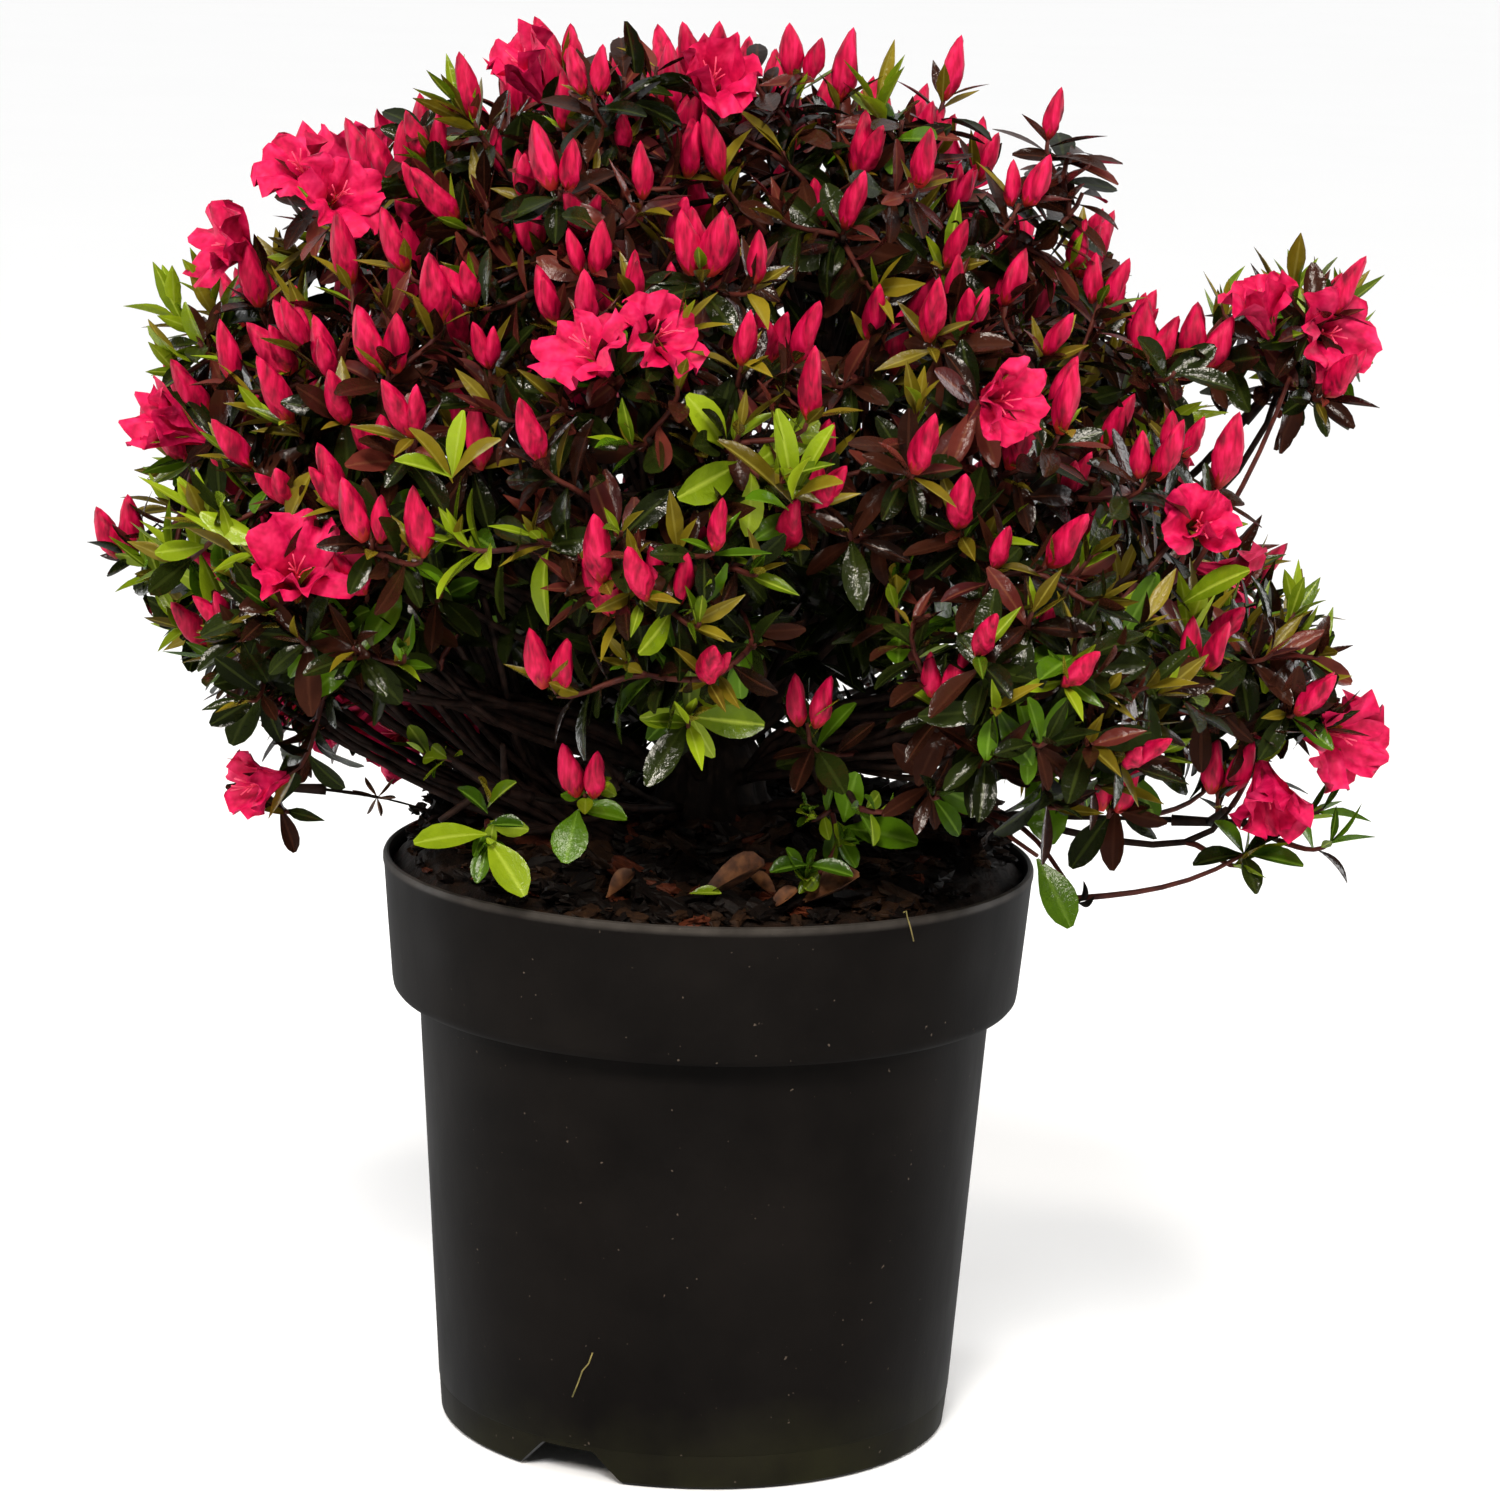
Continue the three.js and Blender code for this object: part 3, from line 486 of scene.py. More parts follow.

# %% [markdown]
# Black polypropylene keeps the satin of its mould: dark and nearly plain from the front, with soft bright
# edges. Use leaves a film of dust, a few pale specks and, near the ground, a green tint of algae. Along the top
# of the lip a paler band is painted, partly rubbed wear and partly a painted highlight of the rim.

# %% Pot finish
def pot_finish():
    """Satin black plastic with dust, specks, algae and a lip band of wear and painted highlight."""
    material = bare_material("Moulded_black_polypropylene")
    place = add_node(material, "ShaderNodeTexCoord").outputs["Object"]
    height = add_node(material, "ShaderNodeSeparateXYZ", {"Vector": place}).outputs["Z"]
    near_ground = add_node(material, "ShaderNodeMapRange", {
        "Value": height, "From Min": 0.05, "From Max": 0.0, "To Min": 0.0, "To Max": 1.0}).outputs["Result"]
    algae = add_node(material, "ShaderNodeMath", {
        0: near_ground, 1: blotches(material, 34, 5.0)}, operation="MULTIPLY").outputs[0]
    amount = add_node(material, "ShaderNodeMapRange", {
        "Value": algae, "From Min": 0.2, "From Max": 0.6, "To Max": 0.5}).outputs["Result"]
    colour = add_node(material, "ShaderNodeValToRGB", {"Fac": blotches(material, 60, 4.0)},
                      [(0.3, "#0F0D0C"), (0.7, "#171412")]).outputs["Color"]
    specks = add_node(material, "ShaderNodeValToRGB", {"Fac": blotches(material, 2.2, 1.0)},
                      [(0.0, "#000000"), (0.765, "#000000"), (0.8, "#FFFFFF")]).outputs["Color"]
    # Painted highlight: a paler band along the top of the lip, partly rubbed wear and partly the rim's
    # highlight.
    lip = add_node(material, "ShaderNodeMapRange", {
        "Value": height, "From Min": 0.2006, "From Max": 0.2022, "To Max": 1.0}).outputs["Result"]
    lip_wear_and_painted_highlight = add_node(material, "ShaderNodeMath", {
        0: lip, 1: blotches(material, 14, 3.0)}, operation="MULTIPLY").outputs[0]
    for share, code in ((amount, "#2B2B17"), (specks, "#4A4138"), (lip_wear_and_painted_highlight, "#47423D")):
        colour = add_node(material, "ShaderNodeMix", {
            0: share, 6: colour, 7: linear(code)}, data_type="RGBA").outputs[2]
    rough = add_node(material, "ShaderNodeMapRange", {
        "Value": blotches(material, 26, 4.0, (1, 1, 0.35)), "From Min": 0.3, "From Max": 0.7,
        "To Min": 0.33, "To Max": 0.46}).outputs["Result"]
    grain = add_node(material, "ShaderNodeBump", {
        "Height": blotches(material, 1.6), "Strength": 0.12, "Distance": 0.0002}).outputs["Normal"]
    return coat(material, {"Base Color": colour, "Roughness": rough, "IOR": 1.49, "Normal": grain,
                           "Specular IOR Level": 0.12})


own(pot, pot_finish(), ["pot"])

# %% [markdown]
# The growing rule comes next, in millimetres. First a repeatable stream of random numbers, the same one that
# the solids use, so the boughs and their first twigs come out in the same places.

# %% Random numbers and curves
SEED = 1907  # of the solids' rule


def seeded(seed):
    """A repeatable stream of numbers from 0 to 1."""
    state = seed & 0xFFFFFFFF

    def draw():
        nonlocal state
        state = (state + 0x6D2B79F5) & 0xFFFFFFFF
        mixed = ((state ^ (state >> 15)) * (1 | state)) & 0xFFFFFFFF
        mixed = (mixed + (((mixed ^ (mixed >> 7)) * (61 | mixed)) & 0xFFFFFFFF)) & 0xFFFFFFFF ^ mixed
        return ((mixed ^ (mixed >> 14)) & 0xFFFFFFFF) / 4294967296

    return draw


class Curve:
    """A quadratic curve from foot to tip, read by share of its length."""

    def __init__(self, foot, bend, tip):
        self.ends = np.array([foot, bend, tip])
        self.steps = np.linspace(0, 1, 201)
        points = self.at_step(self.steps)
        run = np.linalg.norm(np.diff(points, axis=0), axis=1)
        self.run = np.concatenate([[0], np.cumsum(run)])
        self.length = self.run[-1]

    def at_step(self, t):
        t = np.asarray(t)[..., None]
        foot, bend, tip = self.ends
        return (1 - t) ** 2 * foot + 2 * (1 - t) * t * bend + t ** 2 * tip

    def at(self, share):
        return self.at_step(np.interp(np.asarray(share) * self.length, self.run, self.steps))

    def heading(self, share):
        t = np.interp(np.asarray(share) * self.length, self.run, self.steps)[..., None]
        foot, bend, tip = self.ends
        return unit(2 * (1 - t) * (bend - foot) + 2 * t * (tip - bend))


def polar(azimuth, reach, height):
    """A point from its azimuth in degrees, distance from the axis and height."""
    turn = math.radians(azimuth)
    return np.array([reach * math.cos(turn), reach * math.sin(turn), height])


def smooth(value, low, high):
    """0 below low, 1 above high, and an even slope between."""
    share = np.clip((value - low) / (high - low), 0, 1)
    return share * share * (3 - 2 * share)


print("first draw", round(seeded(SEED)(), 4))

# %% [markdown]
# The compost is heaped above the rim at the sides and back, and drops to the rim in front. Boughs are laid out
# in tiers, as the stems of a sheared young azalea fan out, with a few odd shoots that break the outline.

# %% Boughs
POT_INSIDE = 112.3  # radius at the compost
COMPOST_EDGE, FLAT_PATCH = 199, 217.7  # heights at the wall and under the root crown


def compost_height(x, y):
    """The compost's height at a place."""
    radius = np.hypot(x, y)
    heap = 9 - 11 * smooth(-y / POT_INSIDE, -0.1, 0.75)
    edge = smooth(POT_INSIDE - radius, 0, 12)
    rough = 1.2 * np.sin(x * 0.19 + 1.3) * np.cos(y * 0.23 - x * 0.07)
    surface = COMPOST_EDGE + edge * (5 + heap + 5 * (1 - (radius / POT_INSIDE) ** 2) + rough)
    patch = smooth(radius, 31, 53)
    return FLAT_PATCH * (1 - patch) + surface * patch


TIERS = [  # name, count, first azimuth, spread, shift in x, reach, height, radius, level, tilt, thickness
    ("low", 8, 33, 315, 14, 160, 282, 66, 0.34, 14, 4.0),
    ("middle", 8, 0, 315, -20, 134, 362, 70, 0.61, 42, 3.8),
    ("upper", 5, 30, 288, -26, 84, 430, 68, 0.8, 63, 3.1),
    ("top", 1, 0, 0, -28, 0, 440, 60, 0.85, 90, 2.8),
]
SHOOTS = [  # name, azimuth, sweep, reach, height, radius, level, tilt, thickness
    ("right_arm", -6, 14, 198, 388, 48, 0.42, 22, 2.8),
    ("right_drooping", -14, 0, 190, 230, 42, 0.08, 3, 2.2),
    ("left_drooping", 192, 0, 156, 230, 32, 0.08, 3, 1.8),
    ("basal_left", 224, 0, 106, 240, 36, 0.08, 6, 2.0),
    ("basal_centre", 240, 0, 78, 252, 32, 0.08, 8, 2.0),
    ("basal_right", 300, 0, 86, 250, 40, 0.08, 8, 2.0),
]


CROWN_HEART = np.array([0, 0, 290])


class Bough:
    """One bough and the space of the mass that it ends in."""

    def __init__(self, name, azimuth, sweep, lean, reach, height, radius, level, tilt, thickness):
        self.name, self.radius, self.thickness, self.height = name, radius, thickness, height
        self.centre = polar(azimuth, reach, height) + [lean, 0, 0]
        tilt = math.radians(tilt)
        foot = polar(azimuth + sweep, 9.5 * math.cos(tilt), 218 + thickness * 0.6 + 34 * level)
        out = polar(azimuth + sweep, math.cos(tilt), math.sin(tilt))
        self.curve = Curve(foot, foot + out * np.linalg.norm(self.centre - foot) * 0.52, self.centre)
        self.end = 1 - radius * 0.62 / self.curve.length
        self.outward = unit(unit(self.centre - CROWN_HEART) + UP * 0.2)
        self.scale = min(1, radius / 62)


def lay_out_boughs():
    """Every bough: the tiers in order, then the odd shoots."""
    laid = []
    for name, count, first, spread, lean, reach, height, radius, level, tilt, thickness in TIERS:
        for i in range(count):
            azimuth = first + (spread / (count - 1) * i if count > 1 else 0)
            front = max(0, math.cos(math.radians(azimuth - 258))) ** 4 if name == "low" else 0
            laid.append(Bough(f"{name}_{i + 1}" if count > 1 else name, azimuth, 0, lean, reach - 22 * front,
                              height + 42 * front, radius - 14 * front, level, tilt + 10 * front, thickness))
    for name, azimuth, sweep, reach, height, radius, level, tilt, thickness in SHOOTS:
        laid.append(Bough(name, azimuth, sweep, 0, reach, height, radius, level, tilt, thickness))
    return laid


boughs = lay_out_boughs()
print(len(boughs), "boughs, longest", round(max(b.curve.length for b in boughs)), "mm")

# %% [markdown]
# A mass keeps to the space nearer to its own middle than to any other. Its first twigs run out to places that
# are spread as evenly as the space allows.

# %% Masses and their first twigs
def inside_cell(points, bough, margin):
    """Which points are in a bough's own space, above the compost and clear of the rim."""
    points = np.atleast_2d(points)
    fits = np.linalg.norm(points - bough.centre, axis=1) <= bough.radius
    for other in boughs:
        if other is bough:
            continue
        across = other.centre - bough.centre
        size = np.linalg.norm(across)
        shift = size * (bough.radius - other.radius) / (bough.radius + other.radius) / 2
        fits &= (points - (other.centre + bough.centre) / 2) @ across / size <= shift - margin
    radius = np.hypot(points[:, 0], points[:, 1])
    over_rim = (radius > 101) & (radius < 117)
    above = points[:, 2] > compost_height(points[:, 0], points[:, 1]) + 2
    return fits & np.where(over_rim, points[:, 2] > 214, (radius > 115) | above)


def spread_out(places, inward, count, taken=()):
    """Picks places one by one, each as far as it can be from those before it and not far inside."""
    chosen = []
    near = np.full(len(places), 1000.0)
    for other in taken:
        near = np.minimum(near, np.linalg.norm(places - other, axis=1))
    for _ in range(min(count, len(places))):
        best = int(np.argmax(near - inward * 12))
        chosen.append(best)
        near = np.minimum(near, np.linalg.norm(places - places[best], axis=1))
    return chosen


def first_twigs(bough, index):
    """The mass's first twigs, as (root, tip)."""
    draw = seeded(SEED + index * 101)
    margin = 27 * bough.scale
    offsets = np.array([[draw() * 2 - 1 for _ in range(3)] for _ in range(500)])
    inward = -(offsets @ bough.outward)
    keep = (np.linalg.norm(offsets, axis=1) <= 1) & (inward <= 0.35)
    offsets, inward = offsets[keep], inward[keep]
    places = bough.centre + offsets * (bough.radius - margin)
    fits = inside_cell(places, bough, margin * 0.5)
    places, inward = places[fits], inward[fits]
    start = bough.end + 0.3 / bough.curve.length
    twigs = []
    for i in spread_out(places, inward, round(max(3, 5 * bough.scale))):
        share = start + (1 - start) * (0.6 - 0.4 * inward[i])
        twigs.append((bough.curve.at(share), places[i]))
    return twigs


for index, bough in enumerate(boughs):
    bough.twigs = first_twigs(bough, index)
print(sum(len(b.twigs) for b in boughs), "first twigs")

# %% [markdown]
# Open flowers, the buds that stand highest, and the fresh and the bronzed shoots that stand out have places of
# their own. Each is given to the mass whose space it is in. All the other shoot tips fill the space evenly,
# more of them to the outside, where the light is.

# %% Shoot tips
FRONT_FLOWERS = [  # x, y and height of the middle, the way it faces, how far it opens, and its petals' length
    (-69, -44, 479, -0.5, -0.3, 0.8, 0.75, 25), (-6, -81, 480, 0.15, -0.65, 0.7, 0.75, 25),
    (-145, -26, 443, -0.3, -0.7, 0.65, 1.0, 26), (-129, -64, 437, 0.35, -0.75, 0.4, 1.0, 24),
    (-168, -32, 417, -0.6, -0.65, 0.45, 1.1, 27), (-42, -160, 399, -0.45, -0.6, 0.6, 1.0, 25),
    (-20, -150, 404, 0.6, -0.6, 0.5, 0.8, 24), (88, -152, 386, 0.4, -0.85, 0.1, 0.9, 23),
    (203, -54, 400, 0.4, -0.9, 0.05, 1.2, 28), (180, -50, 408, -0.3, -0.45, 0.8, 0.5, 25),
    (155, -130, 345, 0.2, -0.9, 0.2, 1.0, 23), (213, -60, 264, 0.6, -0.75, 0.0, 1.1, 31),
    (189, -66, 244, 0.1, -0.75, -0.65, 0.5, 29), (-135, -132, 322, 0.1, -0.75, 0.6, 1.2, 29),
    (-152, -70, 239, -0.75, -0.5, -0.15, 0.7, 21), (-184, -60, 358, -0.8, -0.4, 0.35, 0.4, 25),
    (-134, 0, 250, -0.5, -0.8, 0.1, 0.9, 24), (-112, 4, 243, -0.4, -0.85, 0.2, 0.9, 24),
    (-152, -6, 258, -0.6, -0.7, 0.2, 0.8, 23), (-92, 8, 248, -0.2, -0.9, 0.2, 0.9, 23),
]
BACK_FLOWERS = [  # x, y and height of the middle
    (80, 95, 436), (-40, 120, 440), (-130, 75, 440), (60, 130, 400), (-70, 160, 350), (160, 75, 330),
    (40, 165, 285), (-165, 80, 290), (-120, 130, 400), (130, 110, 275), (-180, 35, 330), (185, 50, 300),
]
BUD_PLACES = [  # x, y and height of the middle of the buds that stand highest and furthest out
    (-26, -60, 492), (24, -60, 490), (38, -55, 483), (74, -45, 484), (108, -60, 473), (-47, -90, 485),
    (-88, -60, 474), (-60, 0, 486), (-10, -20, 486), (118, -60, 430), (-5, -130, 432), (-45, -130, 430),
    (110, -140, 385), (28, -165, 390), (-102, -50, 460), (-114, -40, 450), (-112, -150, 345), (-95, -158, 342),
    (-52, -165, 302), (74, -150, 300), (32, -112, 282), (-43, -97, 253), (-15, -165, 330), (140, -130, 370),
    (165, -110, 365), (160, -120, 306), (-110, -120, 396), (-165, -70, 385), (-205, -40, 320), (163, -50, 397),
    (127, -70, 420), (138, -70, 248), (176, -60, 253), (154, -80, 371), (145, -60, 400), (-28, -120, 454),
    (-55, -120, 456), (-8, -140, 432), (10, -140, 430), (98, -80, 452), (64, -90, 458),
]
GREEN_PLACES = [  # x, y and height of shoots of fresh green leaves
    (19, -172, 368), (-5, -170, 320), (-8, -150, 286), (-172, -92, 338), (-185, -70, 322), (-192, -50, 312),
    (-160, -105, 330), (197, -60, 311), (157, -110, 315), (126, -130, 312), (107, -120, 284), (108, -110, 262),
    (125, -130, 295), (214, 4, 408), (194, -30, 418), (-84, -160, 345), (-188, -30, 378), (-190, -15, 396),
    (-178, -20, 404), (-74, -95, 229), (33, -90, 243), (45, -82, 231), (33, -92, 221), (215, -6, 396),
    (152, -60, 376), (185, -55, 224), (-190, 30, 335), (-150, 110, 320), (0, 170, 320), (120, 130, 330),
    (60, 120, 440), (-92, -60, 474), (49, -60, 478), (-100, 120, 420),
]
BRONZE_PLACES = [  # x, y and height of shoots of bronzed leaves with no bud
    (114, -60, 463), (119, -60, 450), (108, -62, 440), (58, -60, 472), (8, -62, 486), (-36, -70, 484),
    (-104, -40, 464), (152, -66, 392), (-180, -30, 388),
]
rng = np.random.default_rng(41)


def owner_of(place):
    """The bough whose space a place is in, or is nearest to."""
    for bough in boughs:
        if inside_cell(place, bough, 0)[0]:
            return bough
    return min(boughs, key=lambda b: np.linalg.norm(place - b.centre) / b.radius)


def facing_of(place):
    """The way a flower faces that has only its place: out of the crown and a little up."""
    return unit(unit((place - [0, 0, 300]) * [1, 1, 0.5]) + UP * 0.3 + rng.normal(0, 0.3, 3))


def named_tips():
    """The tips with places of their own, by bough.

    A flower also carries its facing, opening and petal length.
    """
    tips = {bough.name: [] for bough in boughs}
    flowers = [(np.array(row[:3], float), unit(row[3:6]), *row[6:]) for row in FRONT_FLOWERS]
    flowers += [(np.array(place, float), facing_of(np.array(place)), rng.uniform(0.8, 1.3), rng.uniform(24, 28))
                for place in BACK_FLOWERS]
    for middle, facing, openness, length in flowers:
        tip = middle - facing * length * 0.45
        tips[owner_of(middle).name].append((tip, "flower", (facing, openness, length)))
    kinds = (("bud", BUD_PLACES, 10), ("green", GREEN_PLACES, 5), ("bronze", BRONZE_PLACES, 5))
    for kind, places, drop in kinds:
        for place in places:
            upright = unit(UP + unit(np.array(place) * [1, 1, 0]) * 0.3)
            tips[owner_of(np.array(place, float)).name].append((place - upright * drop, kind, (upright, 0, 0)))
    return tips


DOME_MIDDLE, DOME_HALF_SIZES = (-16, 0, 300), (178, 175, 171)  # of the crown without its odd shoots


def may_tip(bough, places):
    """Where a mass may end its shoots: under the crown's dome and above the bare fan of stems."""
    x, y, z = places.T
    if bough.name.startswith("low"):
        over_fan = np.where(x < -150, 268, np.where(x < -70, 294, 264))
        floor = np.where(x > 70, 250, np.where((x > -100) & (y > 0), 236, over_fan))
        return (z > floor) & ((x < 150) | (z < 300)) & (x < 204) & (x > -196)
    if bough.name == "right_arm":
        return (x < 204) & (z > np.where(x < 172, 350, 380)) & (z < 408)
    if bough.name.endswith("drooping"):
        return (z > 224) & (z < 242) & (x > -146)
    if bough.name.startswith("basal"):
        return z > 224
    flat = np.hypot((x - DOME_MIDDLE[0]) / DOME_HALF_SIZES[0], y / DOME_HALF_SIZES[1])
    power = np.where(x < -60, 2.0, 2.3)  # a little squarer at the right
    return flat ** power + np.abs((z - DOME_MIDDLE[2]) / DOME_HALF_SIZES[2]) ** power < 1


def shoot_tips(bough, named, count):
    """Tips of a mass's fine shoots with their kinds, nearest to the bough's end first."""
    margin = 14 * bough.scale
    offsets = rng.uniform(-1, 1, (4000, 3))
    inward = -(offsets @ bough.outward)
    keep = (np.linalg.norm(offsets, axis=1) <= 1) & (inward <= 0.5)
    offsets, inward = offsets[keep], inward[keep]
    places = bough.centre + offsets * (bough.radius - margin)
    fits = inside_cell(places, bough, 3) & may_tip(bough, places)
    places, inward = places[fits], inward[fits]
    chosen = spread_out(places, inward, count, [place for place, _, _ in named])
    tips = list(named) + [(places[i], "", None) for i in chosen]
    foot = bough.curve.at(bough.end)
    return sorted(tips, key=lambda tip: np.linalg.norm(tip[0] - foot))


TIPS_IN_FULL_MASS = 32
FEW_TIPS = {"left_drooping": 1, "right_drooping": 3, "right_arm": 12, "basal_left": 1, "basal_centre": 0,
            "basal_right": 2}
named = named_tips()
for bough in boughs:
    count = FEW_TIPS.get(bough.name, round(TIPS_IN_FULL_MASS * min(1, bough.radius / 66) ** 1.6))
    count = round(count * 1.4) if bough.name.startswith("low") and bough.centre[1] > 50 else count
    count = round(count * 0.8) if bough.name.startswith(("upper", "top")) else count
    bough.tips = shoot_tips(bough, named[bough.name], count)
print(sum(len(b.tips) for b in boughs), "shoot tips")

# %% [markdown]
# Stems that leave a bough half way and run beside it make the fan that shows under the crown. Every fine shoot
# then leaves the nearest wood that already heads its way, and turns up to the light at its end.

# %% Shoots
STEM_RADII = {"main": (2.2, 1.3), "twig": (1.8, 1.0), "side": (1.7, 1.0), "fan": (1.8, 0.9), "bare": (1.8, 1.0)}


def bent_line(root, heading, tip, aim, points=7):
    """A smooth line that leaves along a heading and arrives along an aim."""
    reach = np.linalg.norm(tip - root)
    ends = np.array([root, root + heading * reach * 0.35, tip - aim * reach * 0.38, tip])
    t = np.linspace(0, 1, points)[:, None]
    return ((1 - t) ** 3 * ends[0] + 3 * (1 - t) ** 2 * t * ends[1] + 3 * (1 - t) * t ** 2 * ends[2]
            + t ** 3 * ends[3])


def aim_of(bough, place):
    """The direction in which a shoot tip points: outward, and up to the light."""
    away = unit(place - bough.centre)
    flat = unit((place - CROWN_HEART) * [1, 1, 0.2])
    lift = 0.75 if bough.height > 300 else 0.55
    return unit(bough.outward * 0.3 + away * 0.3 + flat * 0.25 + UP * lift + rng.normal(0, 0.13, 3))


def grow(bough):
    """Adds a mass's stems and fine shoots."""
    curve, start = bough.curve, bough.end + 0.3 / bough.curve.length
    bough.stems, bough.shoots = [], []
    shares = np.linspace(0.8 * bough.end, 1, 8)
    carriers, headings = [curve.at(shares)], [curve.heading(shares)]
    bough.stems.append((curve.at(np.linspace(start, 1, 7)), *STEM_RADII["main"]))
    for root, tip in bough.twigs:
        tip = tip if may_tip(bough, tip[None])[0] else root + (tip - root) * 0.55
        line = bent_line(root, unit(tip - root), tip, unit(tip - root))
        bough.stems.append((line, *STEM_RADII["twig"]))
        carriers.append(line[1:])
        headings.append(np.repeat([unit(tip - root)], len(line) - 1, axis=0))
    side_count = 8 if bough.radius > 50 else 1
    for k in range(side_count):
        share = bough.end * (0.05 + 0.6 * (k + rng.random()) / side_count)
        place = bough.centre + (bough.tips[(k * 7) % len(bough.tips)][0] - bough.centre) * 0.55
        line = bent_line(curve.at(share), curve.heading(share), place, aim_of(bough, place), 9)
        if bough.name == "left_drooping":  # a single thin stem, but its draws are made as for the others
            continue
        bough.stems.append((line, *STEM_RADII["side"]))
        carriers.append(line[4:])
        headings.append(unit(np.gradient(line, axis=0))[4:])
    fan_count = 9 if bough.name.startswith("low") else 4 if bough.name.startswith("middle") else 0
    for k in range(fan_count):
        share = bough.end * rng.uniform(0.02, 0.22)
        place = bough.centre + (bough.tips[(k * 5 + 2) % len(bough.tips)][0] - bough.centre) * 0.75
        heading = unit(curve.heading(share) + UP * rng.uniform(0.1, 0.8) + rng.normal(0, 0.15, 3))
        line = bent_line(curve.at(share), heading, place, aim_of(bough, place), 9)
        bough.stems.append((line, *STEM_RADII["fan"]))
    for tip, kind, flower in bough.tips:
        wood, ways = np.concatenate(carriers), np.concatenate(headings)
        gap = tip - wood
        reach = np.linalg.norm(gap, axis=1)
        cost = reach * (1.6 - np.sum(gap * ways, axis=1) / np.maximum(reach, 1e-6)) + 40 * (reach < 9)
        root = int(np.argmin(cost))
        aim = flower[0] if flower else aim_of(bough, tip)
        line = bent_line(wood[root], unit(ways[root] + unit(gap[root])), tip, aim)
        bough.shoots.append({"line": line, "tip": tip, "aim": aim, "kind": kind, "flower": flower,
                             "bough": bough})
        carriers.append(line[1:5])
        headings.append(unit(np.gradient(line, axis=0))[1:5])


FAN_COUNT = 44


def fan_stems():
    """Thin bare stems that leave the foot of the root crown at the left and spread into the low masses."""
    lines = []
    for k in range(FAN_COUNT):
        share = (k + rng.random()) / FAN_COUNT
        foot = np.array([rng.uniform(-42, -26), rng.uniform(-38, 16), rng.uniform(209, 220)])
        tip = np.array([-174 + 98 * share, rng.uniform(-88, 20), 266 + 36 * share ** 0.7 + rng.uniform(0, 8)])
        start = unit([-1.0, rng.uniform(-0.4, 0.2), 0.12 + 0.55 * share])
        lines.append(bent_line(foot, start, tip, unit(tip - foot + [-10, 0, 60])))
    return lines


for bough in boughs:
    grow(bough)
left_fan = fan_stems()
shoots = [shoot for bough in boughs for shoot in bough.shoots]


def bud_count(shoot):
    """How many buds a shoot bears: more to the top and the outside, none on a flower's or a leafy shoot."""
    bough, kind, z = shoot["bough"], shoot["kind"], shoot["tip"][2]
    depth = -np.dot(shoot["tip"] - bough.centre, bough.outward) / bough.radius
    share = 0.14 + 0.39 * smooth(z, 280, 350) + 0.32 * smooth(z, 380, 440)
    if kind in ("flower", "green", "bronze") or (not kind and bough.name.endswith("drooping")):
        return 0
    if not kind and (rng.random() > share or depth > 0.3):
        return 0
    if kind:
        return 2 if z < 310 else rng.integers(1, 3)
    return rng.choice([1, 2, 3], p=[0.56, 0.34, 0.1])


for shoot in shoots:
    shoot["buds"] = bud_count(shoot)
print(len(shoots), "fine shoots,", sum(len(b.stems) for b in boughs), "stems")

# %% [markdown]
# The root crown is the short thick wood that all the stems leave. It is drawn up ring by ring from a lobed
# circle. The boughs are bevelled curves with a tapering radius. Joined, they get the low relief of azalea bark
# from a Displace modifier.

# %% Root crown and boughs
CROWN_RINGS = [  # radius, and height above the flat foot
    (27, 0), (25, 2), (22.5, 4.5), (20, 8), (19, 12), (18.4, 17), (18, 22), (15, 27), (11, 31), (5, 33.6),
]


def make_root_crown():
    """The root crown, lobed where it leaves the compost."""
    deselect()
    foot = (AXIS[0] / 1000, AXIS[1] / 1000, 0.218)
    bpy.ops.mesh.primitive_circle_add(vertices=84, radius=0.027, fill_type="NGON", location=foot)
    crown = bpy.context.object
    bpy.ops.object.mode_set(mode="EDIT")
    pick(crown, lambda co: math.cos(7 * math.atan2(co.y, co.x)) < -0.2)
    bpy.ops.transform.resize(value=(0.87, 0.87, 1), center_override=foot)
    open_ring()
    draw_up(CROWN_RINGS, foot, 1000)
    return close_body(crown, lambda co: abs(co.z) < 1e-6)


def sag(share):
    """How far the thin drooping bough hangs below its curve, in millimetres, with a slight wave."""
    return -8.5 * np.sin(np.pi * share) ** 1.5 + 0.9 * np.sin(17 * share) * np.sin(np.pi * share)


def make_bough_wood():
    """All the boughs as bevelled curves, turned into a mesh."""
    data = bpy.data.curves.new("bough_wood", "CURVE")
    data.dimensions, data.bevel_depth, data.bevel_resolution, data.use_fill_caps = "3D", 0.001, 3, True
    for bough in boughs:
        shares = np.linspace(0, bough.end, max(8, int(bough.curve.length * bough.end / 4)))
        spline = data.splines.new("POLY")
        spline.points.add(len(shares) - 1)
        thin = bough.name == "left_drooping"
        for point, place, share in zip(spline.points, bough.curve.at(shares), shares / bough.end):
            place = place + UP * sag(share) if thin else place
            point.co = (*((place + AXIS) / 1000), 1)
            point.radius = bough.thickness * (0.76 - 0.32 * share) * (1 - 0.35 * thin * smooth(share, 0, 0.4))
    wood = bpy.data.objects.new("bough_wood", data)
    bpy.context.collection.objects.link(wood)
    select_only(wood)
    bpy.ops.object.convert(target="MESH")
    return bpy.context.object


crown, wood = make_root_crown(), make_bough_wood()
select_only(crown, wood)
bpy.ops.object.join()
wood.name = "root_crown_and_boughs"
relief = bpy.data.textures.new("bark_relief", "CLOUDS")
relief.noise_scale, relief.noise_depth = 0.005, 3
bark_modifier = wood.modifiers.new("bark", "DISPLACE")
bark_modifier.texture, bark_modifier.strength, bark_modifier.mid_level = relief, 0.0014, 0.5
bark_modifier.texture_coords = "LOCAL"
bpy.ops.object.modifier_apply(modifier="bark")
bpy.ops.object.shade_smooth()
